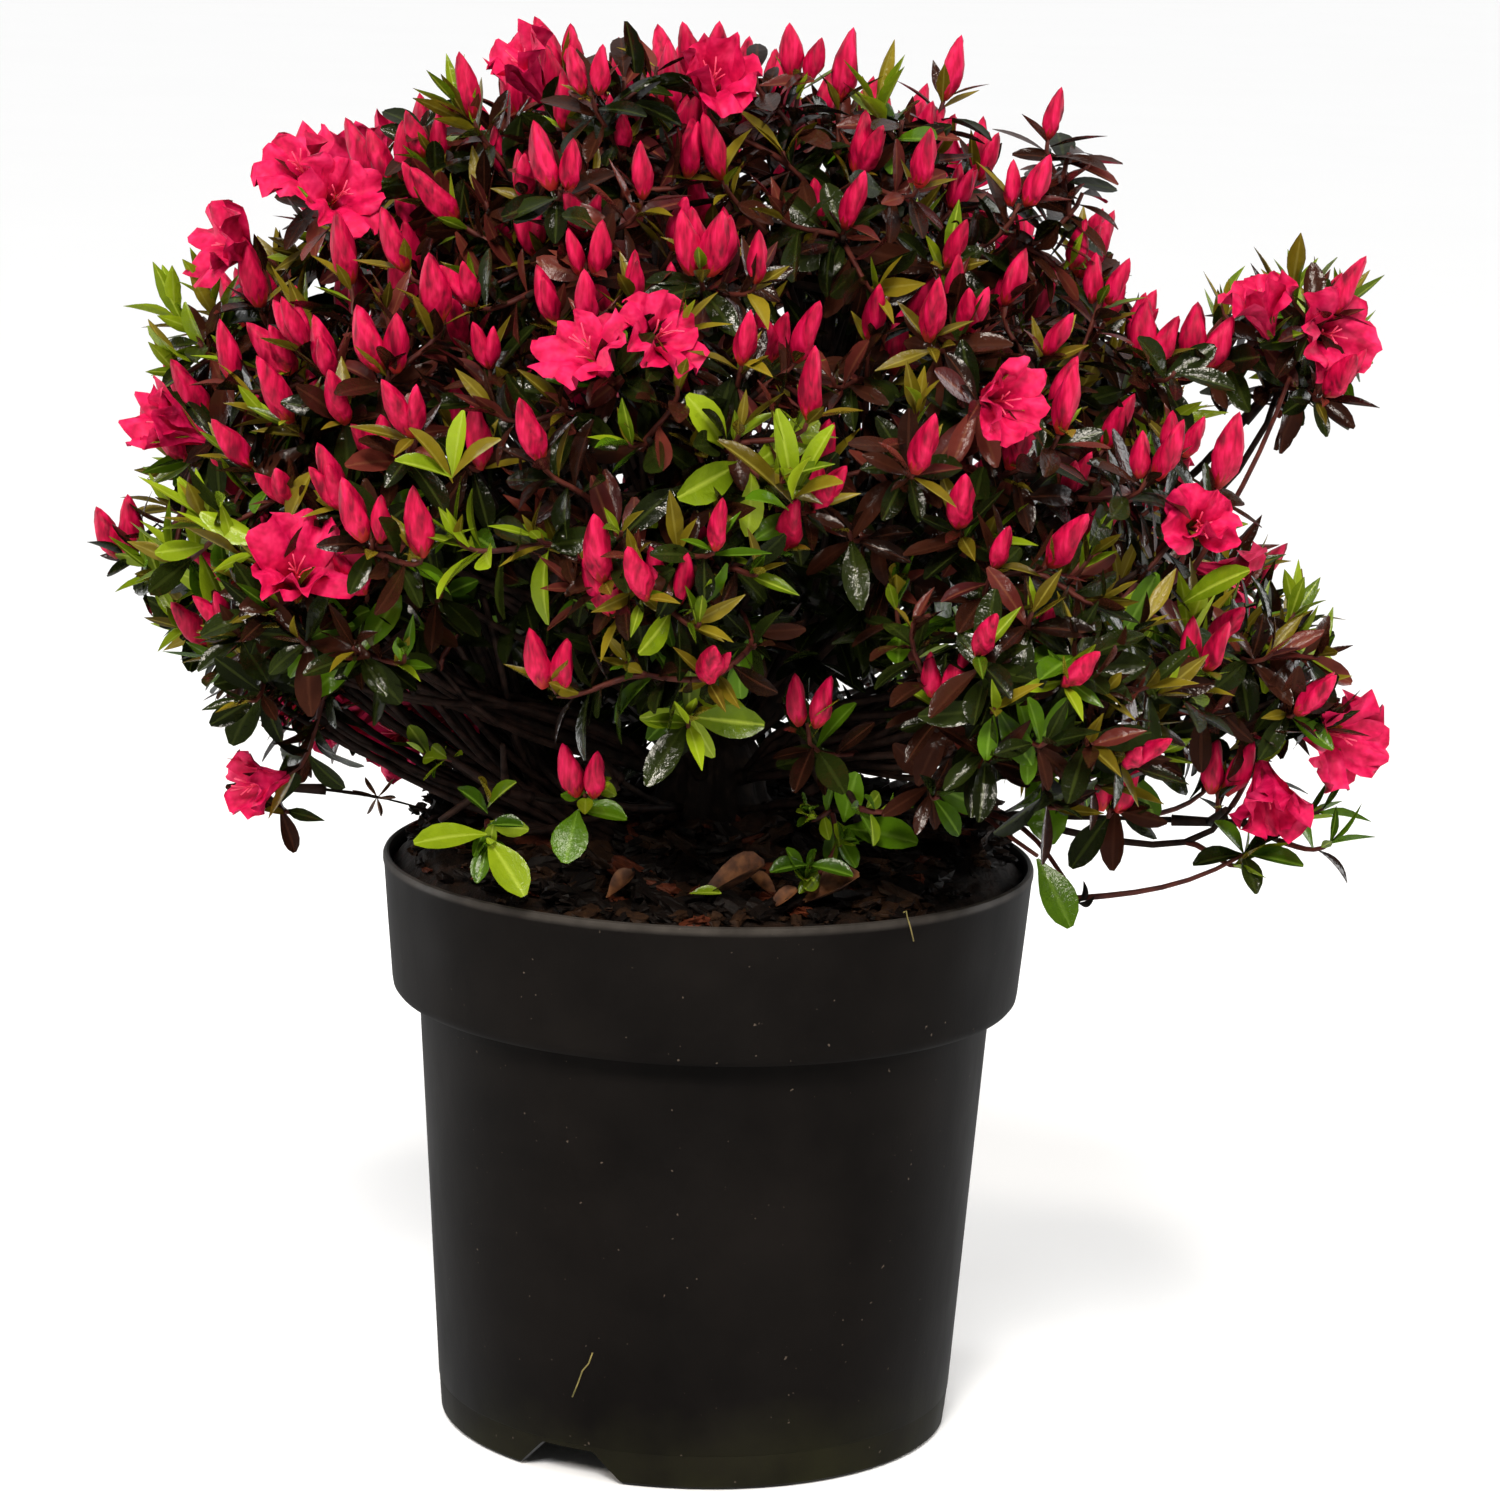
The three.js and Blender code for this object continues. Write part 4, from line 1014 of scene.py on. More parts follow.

# %% [markdown]
# Azalea bark is thin and grey-brown, nearly black when wet, with fine flakes. The bark of the root crown and
# boughs is painted nearly black, partly as wet bark and partly as painted shade for the dim hollow under the
# crown. Young stems are smoother and browner, and the newest growth is red-brown.

# %% Wood finishes
# Painted shade: these near-black bark shades are partly wet bark and partly shade painted onto the root crown.
bark = finish("Wet_azalea_bark_with_painted_shade", ["#0E0907", "#1C1410", "#30251D"], 5, 0.7, bump=0.6, bump_mm=1.8, shift_mm=0.5,
              detail=6.0, stretch=(1, 1, 0.6), shine=0.12)
stem_bark = finish("Young_azalea_bark", ["#160E0B", "#30201A"], 4, 0.6, bump=0.3, bump_mm=1.2, shift_mm=0.2,
                   shine=0.15)
shoot_skin = finish("Red_brown_shoot_skin", ["#3A1715", "#5C2A20"], 5, 0.5, shine=0.25)
own(wood, bark, ["root_crown", *[f"{bough.name}_bough" for bough in boughs]])


def make_stems():
    """The stems of all masses, by their count of points."""
    parts = []
    for count in (7, 9):
        lines = [stem for bough in boughs for stem in bough.stems if len(stem[0]) == count]
        lines += [(line, *STEM_RADII["bare"]) for line in left_fan if len(line) == count]
        radii = [np.linspace(start, end, count) for _, start, end in lines]
        parts.append(tubes([line for line, _, _ in lines], radii, 6))
    return joined("stems", parts)


def hanging_twigs():
    """The bare stem under the right arm, and the twigs that hang over the rim from the drooping bough."""
    bough = next(b for b in boughs if b.name == "right_drooping")
    low, end, leaf_foot = np.array([[126.0, -64, 206], [183.0, -55, 221], [111.0, -76, 223]])
    half_way, level = bough.curve.at(0.5), unit([1.0, 0.05, 0.1])
    over = bough.curve.at(0.42)
    arm_foot, arm_end = np.array([[160.0, -38, 312], [192.0, -42, 384]])
    return [bent_line(arm_foot, unit([0.5, -0.1, 0.9]), arm_end, unit([0.3, 0.0, 1.0])),
            bent_line(half_way, unit([0.8, -0.6, -0.05]), low, unit([0.5, -0.2, -0.7])),
            bent_line(low, level, end, unit([0.8, 0.1, 0.5])),
            bent_line(over, unit([0.7, -0.7, 0.2]), leaf_foot, unit([0.6, -0.4, -0.3]))]


SHOOT_RADII = (1.15, 0.75)


def make_shoot_wood():
    """The fine shoots' wood: a red-brown skin over their whole length."""
    lines = [shoot["line"] for shoot in shoots] + hanging_twigs()
    radii = [np.linspace(*SHOOT_RADII, len(line)) for line in lines]
    return joined("shoot_wood", [tubes(lines, radii, 5)])


own(make_stems(), stem_bark)
own(make_shoot_wood(), shoot_skin)

# %% [markdown]
# Two leaves are modelled from small grids: each row is drawn in to the leaf's outline, with a short stalk. The
# old leaf is blunt and widest past its middle, the young one is a narrow lance. How much a leaf folds along its
# midrib and curls back at its tip is set leaf by leaf when it is placed.

# %% Two leaves
def make_leaf(widths):
    """A leaf one long and one wide, from the width of each row."""
    deselect()
    rows = len(widths) - 1
    bpy.ops.mesh.primitive_grid_add(x_subdivisions=2, y_subdivisions=rows, size=1, location=(0, 0.5, 0))
    leaf = bpy.context.object
    bpy.ops.object.transform_apply(location=True)
    bpy.ops.object.mode_set(mode="EDIT")
    for row, width in enumerate(widths):
        pick(leaf, lambda co: abs(co.y - row / rows) < 0.01)
        bpy.ops.transform.resize(value=(width, 1, 1), center_override=(0, row / rows, 0))
    bpy.ops.object.mode_set(mode="OBJECT")
    return model_of(leaf)


old_leaf = make_leaf((0.08, 0.32, 0.64, 0.89, 1.0, 0.97, 0.74, 0.2))
young_leaf = make_leaf((0.10, 0.45, 0.88, 1.0, 0.82, 0.46, 0.04))
print("leaves:", len(old_leaf[1]), "and", len(young_leaf[1]), "triangles")

# %% [markdown]
# A shoot ends in a tuft: three to six young narrow leaves stand up round the tip, a whorl of old ones spreads
# flat below them, and single leaves follow down the stem. A shoot is bronze where the sun reaches it, at the
# top, and green lower down, and some shoots are fresh lime.

# %% Placing the leaves
LEAF_KINDS = ("bronze_dark", "bronze_red", "olive", "dark_green", "mid_green", "lime")
FULL_TURN = 6.28  # radians, near enough for a turn that is dealt out
LEAF_TURN = 2.4  # radians from one leaf to the next on a stem, the golden angle
BASAL_LENGTH, YOUNG_LENGTH, OLD_LENGTH, INNER_LENGTH = (8, 13), (12, 22), (15, 25), (15, 22)
leaves = {kind: [] for kind in LEAF_KINDS}
young_leaves = {kind: [] for kind in LEAF_KINDS}


def tint_of(shoot):
    """The tints of a shoot's young and old leaves."""
    x, y, z = shoot["tip"]
    if shoot["kind"] == "green":
        return ["lime", "lime", "olive"], ["mid_green", "lime", "lime", "dark_green"]
    sun = 1.0 if shoot["kind"] == "bronze" else smooth(z + rng.normal(0, 24) + 0.14 * x, 290, 375)
    if rng.random() < sun:
        young = ["bronze_red", "bronze_dark", "olive"] if rng.random() < 0.65 else ["olive", "olive", "lime"]
        return young, ["bronze_dark"] * 3 + ["bronze_red"] + ["dark_green"] * 2
    young = ["olive", "dark_green", "bronze_dark"] if rng.random() < 0.7 else ["lime", "olive", "mid_green"]
    return young, ["dark_green"] * 4 + ["bronze_dark"] * 2 + ["mid_green"]


def run_down(line):
    """How far each point of a line is from its tip along it, from the tip down."""
    steps = np.linalg.norm(np.diff(line[::-1], axis=0), axis=1)
    return np.concatenate([[0], np.cumsum(steps)])


def square_part(direction, along):
    """What is left of a direction square to another, one long."""
    return unit(direction - along * np.dot(direction, along))


def along_line(line, run, down):
    """The place at a length down a line from its tip."""
    return np.array([np.interp(down, run, line[::-1, i]) for i in range(3)])


def leaf_the_shoot(shoot):
    """Sets the leaves on one shoot, from its tip down."""
    young, old = tint_of(shoot)
    line, axis, bough = shoot["line"], shoot["aim"], shoot["bough"]
    run = run_down(line)
    basal = bough.name.startswith("basal")
    size = 1.0 if basal else 0.8 + 0.2 * bough.scale
    size *= 1.14 if shoot["kind"] == "green" else 1.0
    turn, down, young_count = rng.random() * FULL_TURN, 0.5, rng.integers(3, 7)
    young_count += {"green": 3, "bronze": -6}.get(shoot["kind"], 0)
    count = 9 if basal else 6 if bough.name.endswith("drooping") else rng.integers(14, 20)
    for k in range(count):
        if down > run[-1] * 0.92 + 3:
            break
        place = along_line(line, run, down)
        here = unit(along_line(line, run, max(0, down - 3)) - place + axis * 0.5)
        turn += LEAF_TURN + rng.normal(0, 0.25)
        side = square_to(here[None], np.array([turn]))[0][0]
        fresh = k < young_count
        young_spread = (34, 68) if shoot["buds"] else (14, 42)
        spread = math.radians(rng.uniform(*young_spread if fresh else (48, 90)))
        along = unit(here * math.cos(spread) + side * math.sin(spread) - UP * (0 if fresh else 0.12))
        normal = here - along * np.dot(here, along) + UP * 0.3 + rng.normal(0, 0.2, 3)
        normal = square_part(normal - [0, 0.7, 0] if shoot["kind"] == "bronze" else normal, along)
        if basal:
            length = rng.uniform(*BASAL_LENGTH)
            width, kind = length * 0.5, ["lime", "mid_green", "mid_green"][rng.integers(3)]
        elif fresh:
            length, kind = rng.uniform(*YOUNG_LENGTH), young[rng.integers(len(young))]
            width = length * rng.uniform(0.24, 0.33)
        else:
            length, kind = rng.uniform(*OLD_LENGTH), old[rng.integers(len(old))]
            width = length * rng.uniform(*(0.30, 0.40) if kind.startswith("bronze") else (0.36, 0.47))
        fold, curl = (rng.uniform(0.2, 0.7), rng.uniform(-0.12, 0.15)) if fresh else (
            rng.uniform(0.1, 0.55), rng.uniform(0.0, 0.3))
        rows = young_leaves if fresh and not basal else leaves
        rows[kind].append((*place, *along, *normal, length * size, width * size, fold, curl))
        down += rng.uniform(0.7, 2.6) if k < 10 else rng.uniform(2.4, 5.0)


def leaf_the_stem(line):
    """Sets old leaves along a stem inside the crown, where they shade each other."""
    run = run_down(line)
    down, turn = 4.0, rng.random() * FULL_TURN
    while down < run[-1]:
        place = along_line(line, run, down)
        turn += LEAF_TURN
        low = 236 if abs(place[0] + 12) < 98 and place[1] > 0 else 298 if place[0] < -60 else 276
        if low < place[2] < 335:
            side = square_to(unit(line[-1] - line[0])[None], np.array([turn]))[0][0]
            along = unit(side + UP * rng.uniform(-0.1, 0.5))
            normal = unit(np.cross(np.cross(along, UP + rng.normal(0, 0.3, 3)), along))
            length = rng.uniform(*INNER_LENGTH)
            kind = "bronze_dark" if rng.random() < smooth(place[2], 300, 400) else "dark_green"
            leaves[kind].append((*place, *along, *normal, length, length * 0.42, 0.3, 0.15))
        down += rng.uniform(4.5, 8)


BIG_LEAVES = [  # foot, the way it points, length, width and tint of the largest leaves near the ground
    (-74, -95, 229, -1.0, -0.3, 0.02, 25, 12, "lime"), (-74, -96, 228, 0.55, -0.5, -0.6, 24, 13, "lime"),
    (-44, -95, 238, -0.2, -0.6, -0.75, 19, 13, "mid_green"),
    (-44, -95, 238, 1.0, -0.3, 0.0, 17, 10, "mid_green"),
    (45, -82, 232, 1.0, -0.35, 0.0, 26, 15, "mid_green"), (45, -82, 234, 0.1, -0.4, 0.8, 20, 12, "mid_green"),
    (33, -92, 221, 1.0, -0.3, -0.05, 16, 8, "mid_green"),
    (33, -92, 221, -1.0, -0.3, -0.05, 13, 8, "mid_green"),
    (111, -76, 222, 0.5, -0.3, -0.8, 26, 14, "mid_green"), (-6, -92, 210, 0.9, -0.3, 0.2, 11, 5, "lime"),
    (183, -55, 221, -1.0, -0.2, -0.1, 18, 9, "dark_green"),
    (183, -55, 221, 0.9, -0.3, 0.0, 21, 9, "mid_green"), (183, -55, 221, -0.5, -0.3, 0.7, 17, 8, "mid_green"),
    (183, -55, 221, 0.5, -0.4, 0.5, 18, 8, "dark_green"),
    (183, -55, 221, 0.2, -0.6, -0.5, 16, 8, "dark_green"),
    (106, -120, 262, 0.2, -0.6, -0.75, 27, 15, "mid_green"),
    (104, -120, 268, -0.8, -0.4, -0.3, 24, 13, "dark_green"),
    (108, -120, 268, 0.9, -0.4, -0.1, 26, 14, "mid_green"),
    (106, -120, 272, -0.6, -0.5, 0.3, 24, 12, "mid_green"),
    (-74, -95, 236, -0.6, -0.3, 0.7, 14, 7, "mid_green"), (-74, -95, 238, 0.5, -0.4, 0.7, 15, 7, "lime"),
    (-74, -95, 240, -0.1, -0.6, 0.8, 13, 6, "olive"), (-74, -95, 232, 0.9, -0.4, 0.2, 13, 7, "mid_green"),
    (150, -125, 318, 0.7, -0.4, 0.6, 27, 12, "lime"), (-140, -118, 334, 0.3, -0.3, 0.9, 21, 8, "olive"),
    (23, -170, 354, -0.75, -0.3, 0.8, 32, 8, "olive"), (23, -174, 356, -0.15, -0.3, 1.0, 30, 8, "lime"),
    (24, -171, 357, 0.35, -0.3, 0.95, 26, 7, "lime"), (22, -172, 352, -0.6, -0.6, 0.35, 19, 8, "mid_green"),
    (23, -174, 356, 0.7, -0.5, 0.45, 19, 8, "olive"), (23, -174, 356, 0.1, -0.6, 0.75, 22, 8, "lime"),
    (-84, -161, 356, -0.45, -0.4, 0.8, 24, 7, "olive"), (-84, -161, 358, 0.1, -0.4, 1.0, 23, 7, "lime"),
    (-84, -164, 358, 0.6, -0.4, 0.7, 22, 8, "olive"), (-84, -164, 358, -0.8, -0.4, 0.4, 20, 8, "lime"),
]
for shoot in shoots:
    leaf_the_shoot(shoot)
for bough in boughs:
    for line, _, _ in bough.stems[:12] if bough.radius > 50 else ():
        leaf_the_stem(line)
for line in left_fan[:14:2]:
    leaf_the_shoot({"line": line, "tip": line[-1], "aim": unit(line[-1] - line[-2]), "kind": "", "buds": 0,
                    "bough": owner_of(line[-1])})
to_light = np.array([0.0, -0.7, 1.0])
for *row, length, width, kind in BIG_LEAVES:
    along = unit(row[3:6])
    fold = 0.2 if width > 10 else 0.6
    leaves[kind].append((*row[:3], *along, *square_part(to_light, along), length, width, fold, 0.15))
print({kind: len(leaves[kind]) + len(young_leaves[kind]) for kind in LEAF_KINDS})

# %% [markdown]
# All the leaves of one tint are one mesh. A leaf whose tip would go into the pot or the compost, or past the
# plant's reach, is left out.

# %% Leaf meshes
REACH_LOW = np.array(cad_box[0]) * 1000 - AXIS
REACH_HIGH = np.array(cad_box[1]) * 1000 - AXIS


def has_air(points):
    """Which points are outside the pot and compost and inside the plant's reach."""
    radius = np.hypot(points[:, 0], points[:, 1])
    free = (radius > 116) | (points[:, 2] > compost_height(points[:, 0], points[:, 1]) + 1)
    free &= (radius < 108) | (radius > 118) | (points[:, 2] > 206)
    return free & np.all((points > REACH_LOW - 3) & (points < REACH_HIGH + 3), axis=1)


def laid_leaves(model, rows):
    """Leaves of one model, folded and curled.

    Gives (points, triangles), and each point's distance from the midrib and its tone.
    """
    rows = np.array(rows)
    place, along, normal = rows[:, 0:3], rows[:, 3:6], rows[:, 6:9]
    free = has_air(place + along * rows[:, 9:10]) & has_air(place + along * rows[:, 9:10] * 0.5)
    place, along, normal, rows = place[free], along[free], normal[free], rows[free]
    length, width, fold, curl = rows[:, 9:10], rows[:, 10:11], rows[:, 11:12], rows[:, 12:13]
    points, triangles = model
    x, y = points[:, 0], points[:, 1]
    shaped = np.empty((len(place), len(points), 3))
    shaped[..., 0] = x * width * (1 - 0.18 * fold)
    shaped[..., 1] = y * length * (1 - 0.12 * np.abs(curl))
    shaped[..., 2] = np.abs(x) * fold * width - curl * y ** 2 * length
    laid = set_out((shaped, triangles), place, np.cross(along, normal), along, normal)
    half_width = np.array([np.abs(x[np.abs(y - level) < 0.02]).max() for level in y])
    across = np.abs(x) / np.maximum(half_width, 1e-6)
    return laid, np.tile(across, len(place)), np.repeat(rng.random(len(place)), len(points))


def leaf_piece(name, batches, material, nodes=()):
    """A joined piece of laid leaves."""
    marks = {"across": [batch[1] for batch in batches], "tone": [batch[2] for batch in batches]}
    return own(joined(name, [batch[0] for batch in batches], marks=marks), material, nodes)


# %% [markdown]
# Azalea leaves have a hard shiny skin over a soft blade, so they show small white highlights on a deep colour.
# Each leaf has a tone of its own between two near shades, a faint mottle, and a paler midrib, which the shader
# finds from the value that every point carries for its distance from the middle of the leaf.

# %% Leaf finishes
def leaf_skin(name, shades, rib, roughness):
    """A shiny leaf skin: two near shades, and the colour of its midrib."""
    material = bare_material(name)
    tone = add_node(material, "ShaderNodeAttribute", attribute_name="tone").outputs["Fac"]
    mixed = add_node(material, "ShaderNodeMix", {
        0: 0.35, 2: tone, 3: blotches(material, 7)}, data_type="FLOAT").outputs[0]
    blade = add_node(material, "ShaderNodeValToRGB", {"Fac": mixed}, [(0.15, shades[0]), (0.8, shades[1])])
    across = add_node(material, "ShaderNodeAttribute", attribute_name="across").outputs["Fac"]
    vein = add_node(material, "ShaderNodeMapRange", {
        "Value": across, "From Min": 0.02, "From Max": 0.2, "To Min": 0.75, "To Max": 0.0}).outputs["Result"]
    colour = add_node(material, "ShaderNodeMix", {
        0: vein, 6: blade.outputs["Color"], 7: linear(rib)}, data_type="RGBA").outputs[2]
    puckers = add_node(material, "ShaderNodeBump", {
        "Height": blotches(material, 2.6, 3.0), "Strength": 0.5, "Distance": 0.0006}).outputs["Normal"]
    return coat(material, {"Base Color": colour, "Roughness": roughness, "IOR": 1.45,
                           "Specular IOR Level": 0.5, "Normal": puckers})


leaf_finishes = {
    "bronze_dark": leaf_skin("Bronzed_leaf_skin", ["#140A06", "#371A10"], "#402216", 0.16),
    "bronze_red": leaf_skin("Maroon_leaf_skin", ["#3A1214", "#662C22"], "#70402C", 0.24),
    "olive": leaf_skin("Olive_leaf_skin", ["#483C0A", "#7E6E18"], "#8A7E30", 0.26),
    "dark_green": leaf_skin("Dark_green_leaf_skin", ["#0B0E05", "#20280A"], "#343C16", 0.15),
    "mid_green": leaf_skin("Green_leaf_skin", ["#243C06", "#4C6E0C"], "#6A8A2A", 0.22),
    "lime": leaf_skin("Fresh_leaf_skin", ["#465C08", "#869A18"], "#9CAC3A", 0.24),
}
foliage_nodes = [f"{bough.name}_foliage" for bough in boughs]
for kind in LEAF_KINDS:
    batches = [laid_leaves(model, rows) for model, rows in
               ((old_leaf, leaves[kind]), (young_leaf, young_leaves[kind])) if rows]
    leaf_piece(f"leaves_{kind}", batches, leaf_finishes[kind],
               foliage_nodes)

# %% [markdown]
# A bud is a spindle of petals rolled round each other, so it has five soft ridges that wind up to its point. It
# is drawn up from a ring of ten corners whose every second corner is set in.

# %% A bud
BUD_RINGS = [(0.30, 0.0), (0.62, 0.10), (0.93, 0.25), (1.0, 0.40), (0.88, 0.58), (0.62, 0.76), (0.30, 0.92)]
BUD_TWIST = 0.32  # radians from each ring to the next


def make_bud():
    """A bud one long and one in radius, standing on the origin."""
    deselect()
    bpy.ops.mesh.primitive_circle_add(vertices=10, radius=1, fill_type="NGON", location=(0, 0, 0))
    bud = bpy.context.object
    bpy.ops.object.mode_set(mode="EDIT")
    pick(bud, lambda co: math.cos(5 * math.atan2(co.y, co.x)) < 0)
    bpy.ops.transform.resize(value=(0.72, 0.72, 1), center_override=(0, 0, 0))
    bpy.ops.mesh.select_all(action="SELECT")
    bpy.ops.transform.resize(value=(BUD_RINGS[0][0], BUD_RINGS[0][0], 1), center_override=(0, 0, 0))
    draw_up(BUD_RINGS, (0, 0, 0), 1, BUD_TWIST)
    bpy.ops.mesh.extrude_region_move(TRANSFORM_OT_translate={"value": (0, 0, 1 - BUD_RINGS[-1][1])})
    bpy.ops.mesh.merge(type="CENTER")
    bpy.ops.mesh.select_all(action="SELECT")
    bpy.ops.mesh.normals_make_consistent(inside=False)
    bpy.ops.object.mode_set(mode="OBJECT")
    return model_of(bud)


bud_points, bud_triangles = make_bud()
bud_foot = bud_points[bud_triangles].mean(axis=1)[:, 2] < 0.17
print("bud:", len(bud_triangles), "triangles")

# %% [markdown]
# Most shoots in the light end in one to three buds, held in a cup of small brown scales. The foot of each bud
# is more orange than its point, and is a piece of its own with its own colour.

# %% Placing the buds
BUD_LENGTH, BUD_RADIUS_SHARE = (17.5, 27), (0.175, 0.215)


def bud_rows():
    """Every bud: foot, direction, length and radius."""
    rows = []
    for shoot in shoots:
        count = shoot["buds"]
        for k in range(count):
            turned, _ = square_to(shoot["aim"][None], np.array([FULL_TURN * k / count + rng.random() * 0.4]))
            lean = 0.0 if count == 1 else rng.uniform(0.2, 0.38)
            side, stout = turned[0], 1.0
            if shoot["kind"] == "bud" and count == 2:
                side, lean, stout = np.array([2.0 * k - 1, 0.3 - 0.6 * k, 0]), 0.2, 1.12
            aim = unit(shoot["aim"] + side * lean + UP * 0.15)
            length = rng.uniform(*BUD_LENGTH) * (0.88 if count > 1 else 1)
            foot = shoot["tip"] - shoot["aim"] + side * (stout - 1) * 22
            rows.append((*foot, *aim, length, length * stout * rng.uniform(*BUD_RADIUS_SHARE)))
    return np.array(rows)


rows = bud_rows()
free = has_air(rows[:, 0:3] + rows[:, 3:6] * rows[:, 6:7])
rows = rows[free]
across, other = square_to(rows[:, 3:6], rng.random(len(rows)) * FULL_TURN)
bud_skin = finish("Crimson_bud_petal", ["#6C0420", "#AC0636", "#D21850"], 2.6, 0.45, bump=0.5, bump_mm=1.2,
                  stretch=(1, 1, 0.25), shine=0.2)
foot_skin = finish("Orange_red_bud_foot", ["#8E1418", "#B4241C"], 4, 0.5)
for name, keep, material in (("bud_petals", ~bud_foot, bud_skin), ("bud_feet", bud_foot, foot_skin)):
    made = set_out((bud_points, bud_triangles[keep]), rows[:, 0:3], across * rows[:, 7:8], other * rows[:, 7:8],
                   rows[:, 3:6] * rows[:, 6:7])
    own(joined(name, [made]), material, foliage_nodes)

scale_rows = []
for row in rows:
    foot, aim, radius = row[0:3], row[3:6], row[7]
    for k in range(4):
        side, _ = square_to(aim[None], np.array([k * 1.57 + rng.random() * 0.5]))
        along = unit(aim + side[0] * 0.7)
        normal = square_part(unit(aim * 0.5 - side[0]), along)
        scale_rows.append((*(foot + aim * 0.5), *along, *normal, rng.uniform(3.5, 5.5), 3.0, 0.3, -0.2))
leaf_piece("bud_scales", [laid_leaves(young_leaf, scale_rows)],
           finish("Brown_bud_scale", ["#4A1E14", "#6A341A"], 3, 0.5))

# %% [markdown]
# An open flower is a wide funnel of five petals that overlap at the foot. One flat petal is modelled from a
# grid, with a blunt notched end. It is then bent out of the funnel and ruffled, petal by petal, as it is set
# in its flower, so no two flowers are alike.

# %% A petal
PETAL_WIDTHS = (0.13, 0.18, 0.27, 0.41, 0.55, 0.65, 0.69, 0.63, 0.44)  # from foot to end


def make_petal():
    """A flat petal one long, with its foot at the origin."""
    deselect()
    bpy.ops.mesh.primitive_grid_add(x_subdivisions=8, y_subdivisions=8, size=1, location=(0, 0.5, 0))
    petal = bpy.context.object
    bpy.ops.object.transform_apply(location=True)
    bpy.ops.object.mode_set(mode="EDIT")
    for row, width in enumerate(PETAL_WIDTHS):
        pick(petal, lambda co: abs(co.y - row / 8) < 0.01)
        bpy.ops.transform.resize(value=(width, 1, 1), center_override=(0, row / 8, 0))
    pick(petal, lambda co: abs(co.x) > 0.2 and co.y > 0.99)
    bpy.ops.transform.translate(value=(0, -0.06, 0))
    pick(petal, lambda co: abs(co.x) < 0.02 and co.y > 0.99)
    bpy.ops.transform.translate(value=(0, -0.025, 0))
    bpy.ops.object.mode_set(mode="OBJECT")
    return model_of(petal)


petal_model = make_petal()


def bent_petal(foot, axis, turn, length, openness):
    """One petal bent out of the funnel by openness in radians, cupped and ruffled."""
    points, triangles = petal_model
    x, y = points[:, 0], points[:, 1]
    steps = np.linspace(0, 1, 41)
    lean = 0.2 + (openness - 0.2) * smooth(steps, 0.22, 0.75)
    lean = lean + rng.uniform(-0.3, 0.8) * smooth(steps, 0.72, 1.0)
    reach = np.concatenate([[0], np.cumsum(np.sin(lean[:-1]) / 40)])
    rise = np.concatenate([[0], np.cumsum(np.cos(lean[:-1]) / 40)])
    tilt = np.interp(y, steps, lean)
    wave = (0.13 * y ** 2 * np.sin(x * rng.uniform(14, 20) + rng.random() * FULL_TURN)
            + rng.normal(0, 0.012, len(x)) * y)
    wave += (0.05 * y ** 3 * np.sin(x * rng.uniform(26, 34) + rng.random() * FULL_TURN)
             + rng.uniform(0.2, 0.8) * x ** 2)
    out, side = square_to(axis[None], np.array([turn]))
    r = 0.06 + np.interp(y, steps, reach) - wave * np.cos(tilt)
    h = np.interp(y, steps, rise) + wave * np.sin(tilt)
    return foot + length * (r[:, None] * out + x[:, None] * side + h[:, None] * axis), triangles


# %% [markdown]
# Flowers open at the outside and look out of the crown. The petals are thin and matt, hot pink-red, and a few
# fine stamens stand out of the throat.

# %% Placing the flowers
flower_shoots = [shoot for shoot in shoots if shoot["kind"] == "flower"]
PETALS, STAMENS = 5, 6
petals, stamen_lines = [], []
for shoot in flower_shoots:
    aim, openness, length = shoot["flower"]
    first, foot = rng.random() * FULL_TURN, shoot["tip"] - aim
    for k in range(PETALS):
        turn = first + k * 1.257 + rng.normal(0, 0.08)
        petal_length = length * rng.uniform(0.85, 1.08)
        petals.append(bent_petal(foot, aim, turn, petal_length, openness + rng.normal(0, 0.32)))
    for k in range(STAMENS):
        turned, _ = square_to(aim[None], np.array([first + k * 1.05 + rng.random() * 0.4]))
        tip = foot + aim * rng.uniform(15, 21) + turned[0] * rng.uniform(2, 5)
        stamen_lines.append(bent_line(foot + aim * 2, aim, tip, unit(aim + turned[0] * 0.8), 5))
petal_skin = finish("Azalea_petal", ["#A40636", "#C8124C", "#DE2C62"], 5, 0.5, bump=0.5, bump_mm=2.5,
                    shine=0.2)
own(joined("open_petals", petals), petal_skin, foliage_nodes)
own(joined("stamens", [tubes(stamen_lines, np.full((len(stamen_lines), 5), 0.3), 4)]),
    finish("Pink_filament", ["#D02850", "#E85070"], 4, 0.5))
print(len(flower_shoots), "flowers")

# %% [markdown]
# The compost is composted bark. Its surface starts as a copy of the CAD filling, divided and roughened, and
# several hundred loose chips of bark lie on it.

# %% Compost
def make_compost():
    """The filling, with a crumbly top."""
    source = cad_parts["compost"]
    piece = source.copy()
    piece.data = source.data.copy()
    piece.name = "compost_filling"
    bpy.context.collection.objects.link(piece)
    select_only(piece)
    bpy.ops.object.mode_set(mode="EDIT")
    bpy.ops.mesh.select_all(action="SELECT")
    bpy.ops.mesh.remove_doubles(threshold=0.00002)
    pick(piece, lambda co: co.z > 0.19)
    bpy.ops.mesh.subdivide(number_cuts=5)
    bpy.ops.object.mode_set(mode="OBJECT")
    crumbs = bpy.data.textures.new("compost_crumbs", "CLOUDS")
    crumbs.noise_scale, crumbs.noise_depth = 0.006, 4
    group = piece.vertex_groups.new(name="top")
    group.add([v.index for v in piece.data.vertices if v.co.z > 0.2], 1.0, "REPLACE")
    modifier = piece.modifiers.new("crumbs", "DISPLACE")
    modifier.texture, modifier.strength, modifier.mid_level = crumbs, 0.006, 0.6
    modifier.direction, modifier.vertex_group, modifier.texture_coords = "Z", "top", "LOCAL"
    bpy.ops.object.modifier_apply(modifier="crumbs")
    bpy.ops.object.shade_smooth()
    return piece


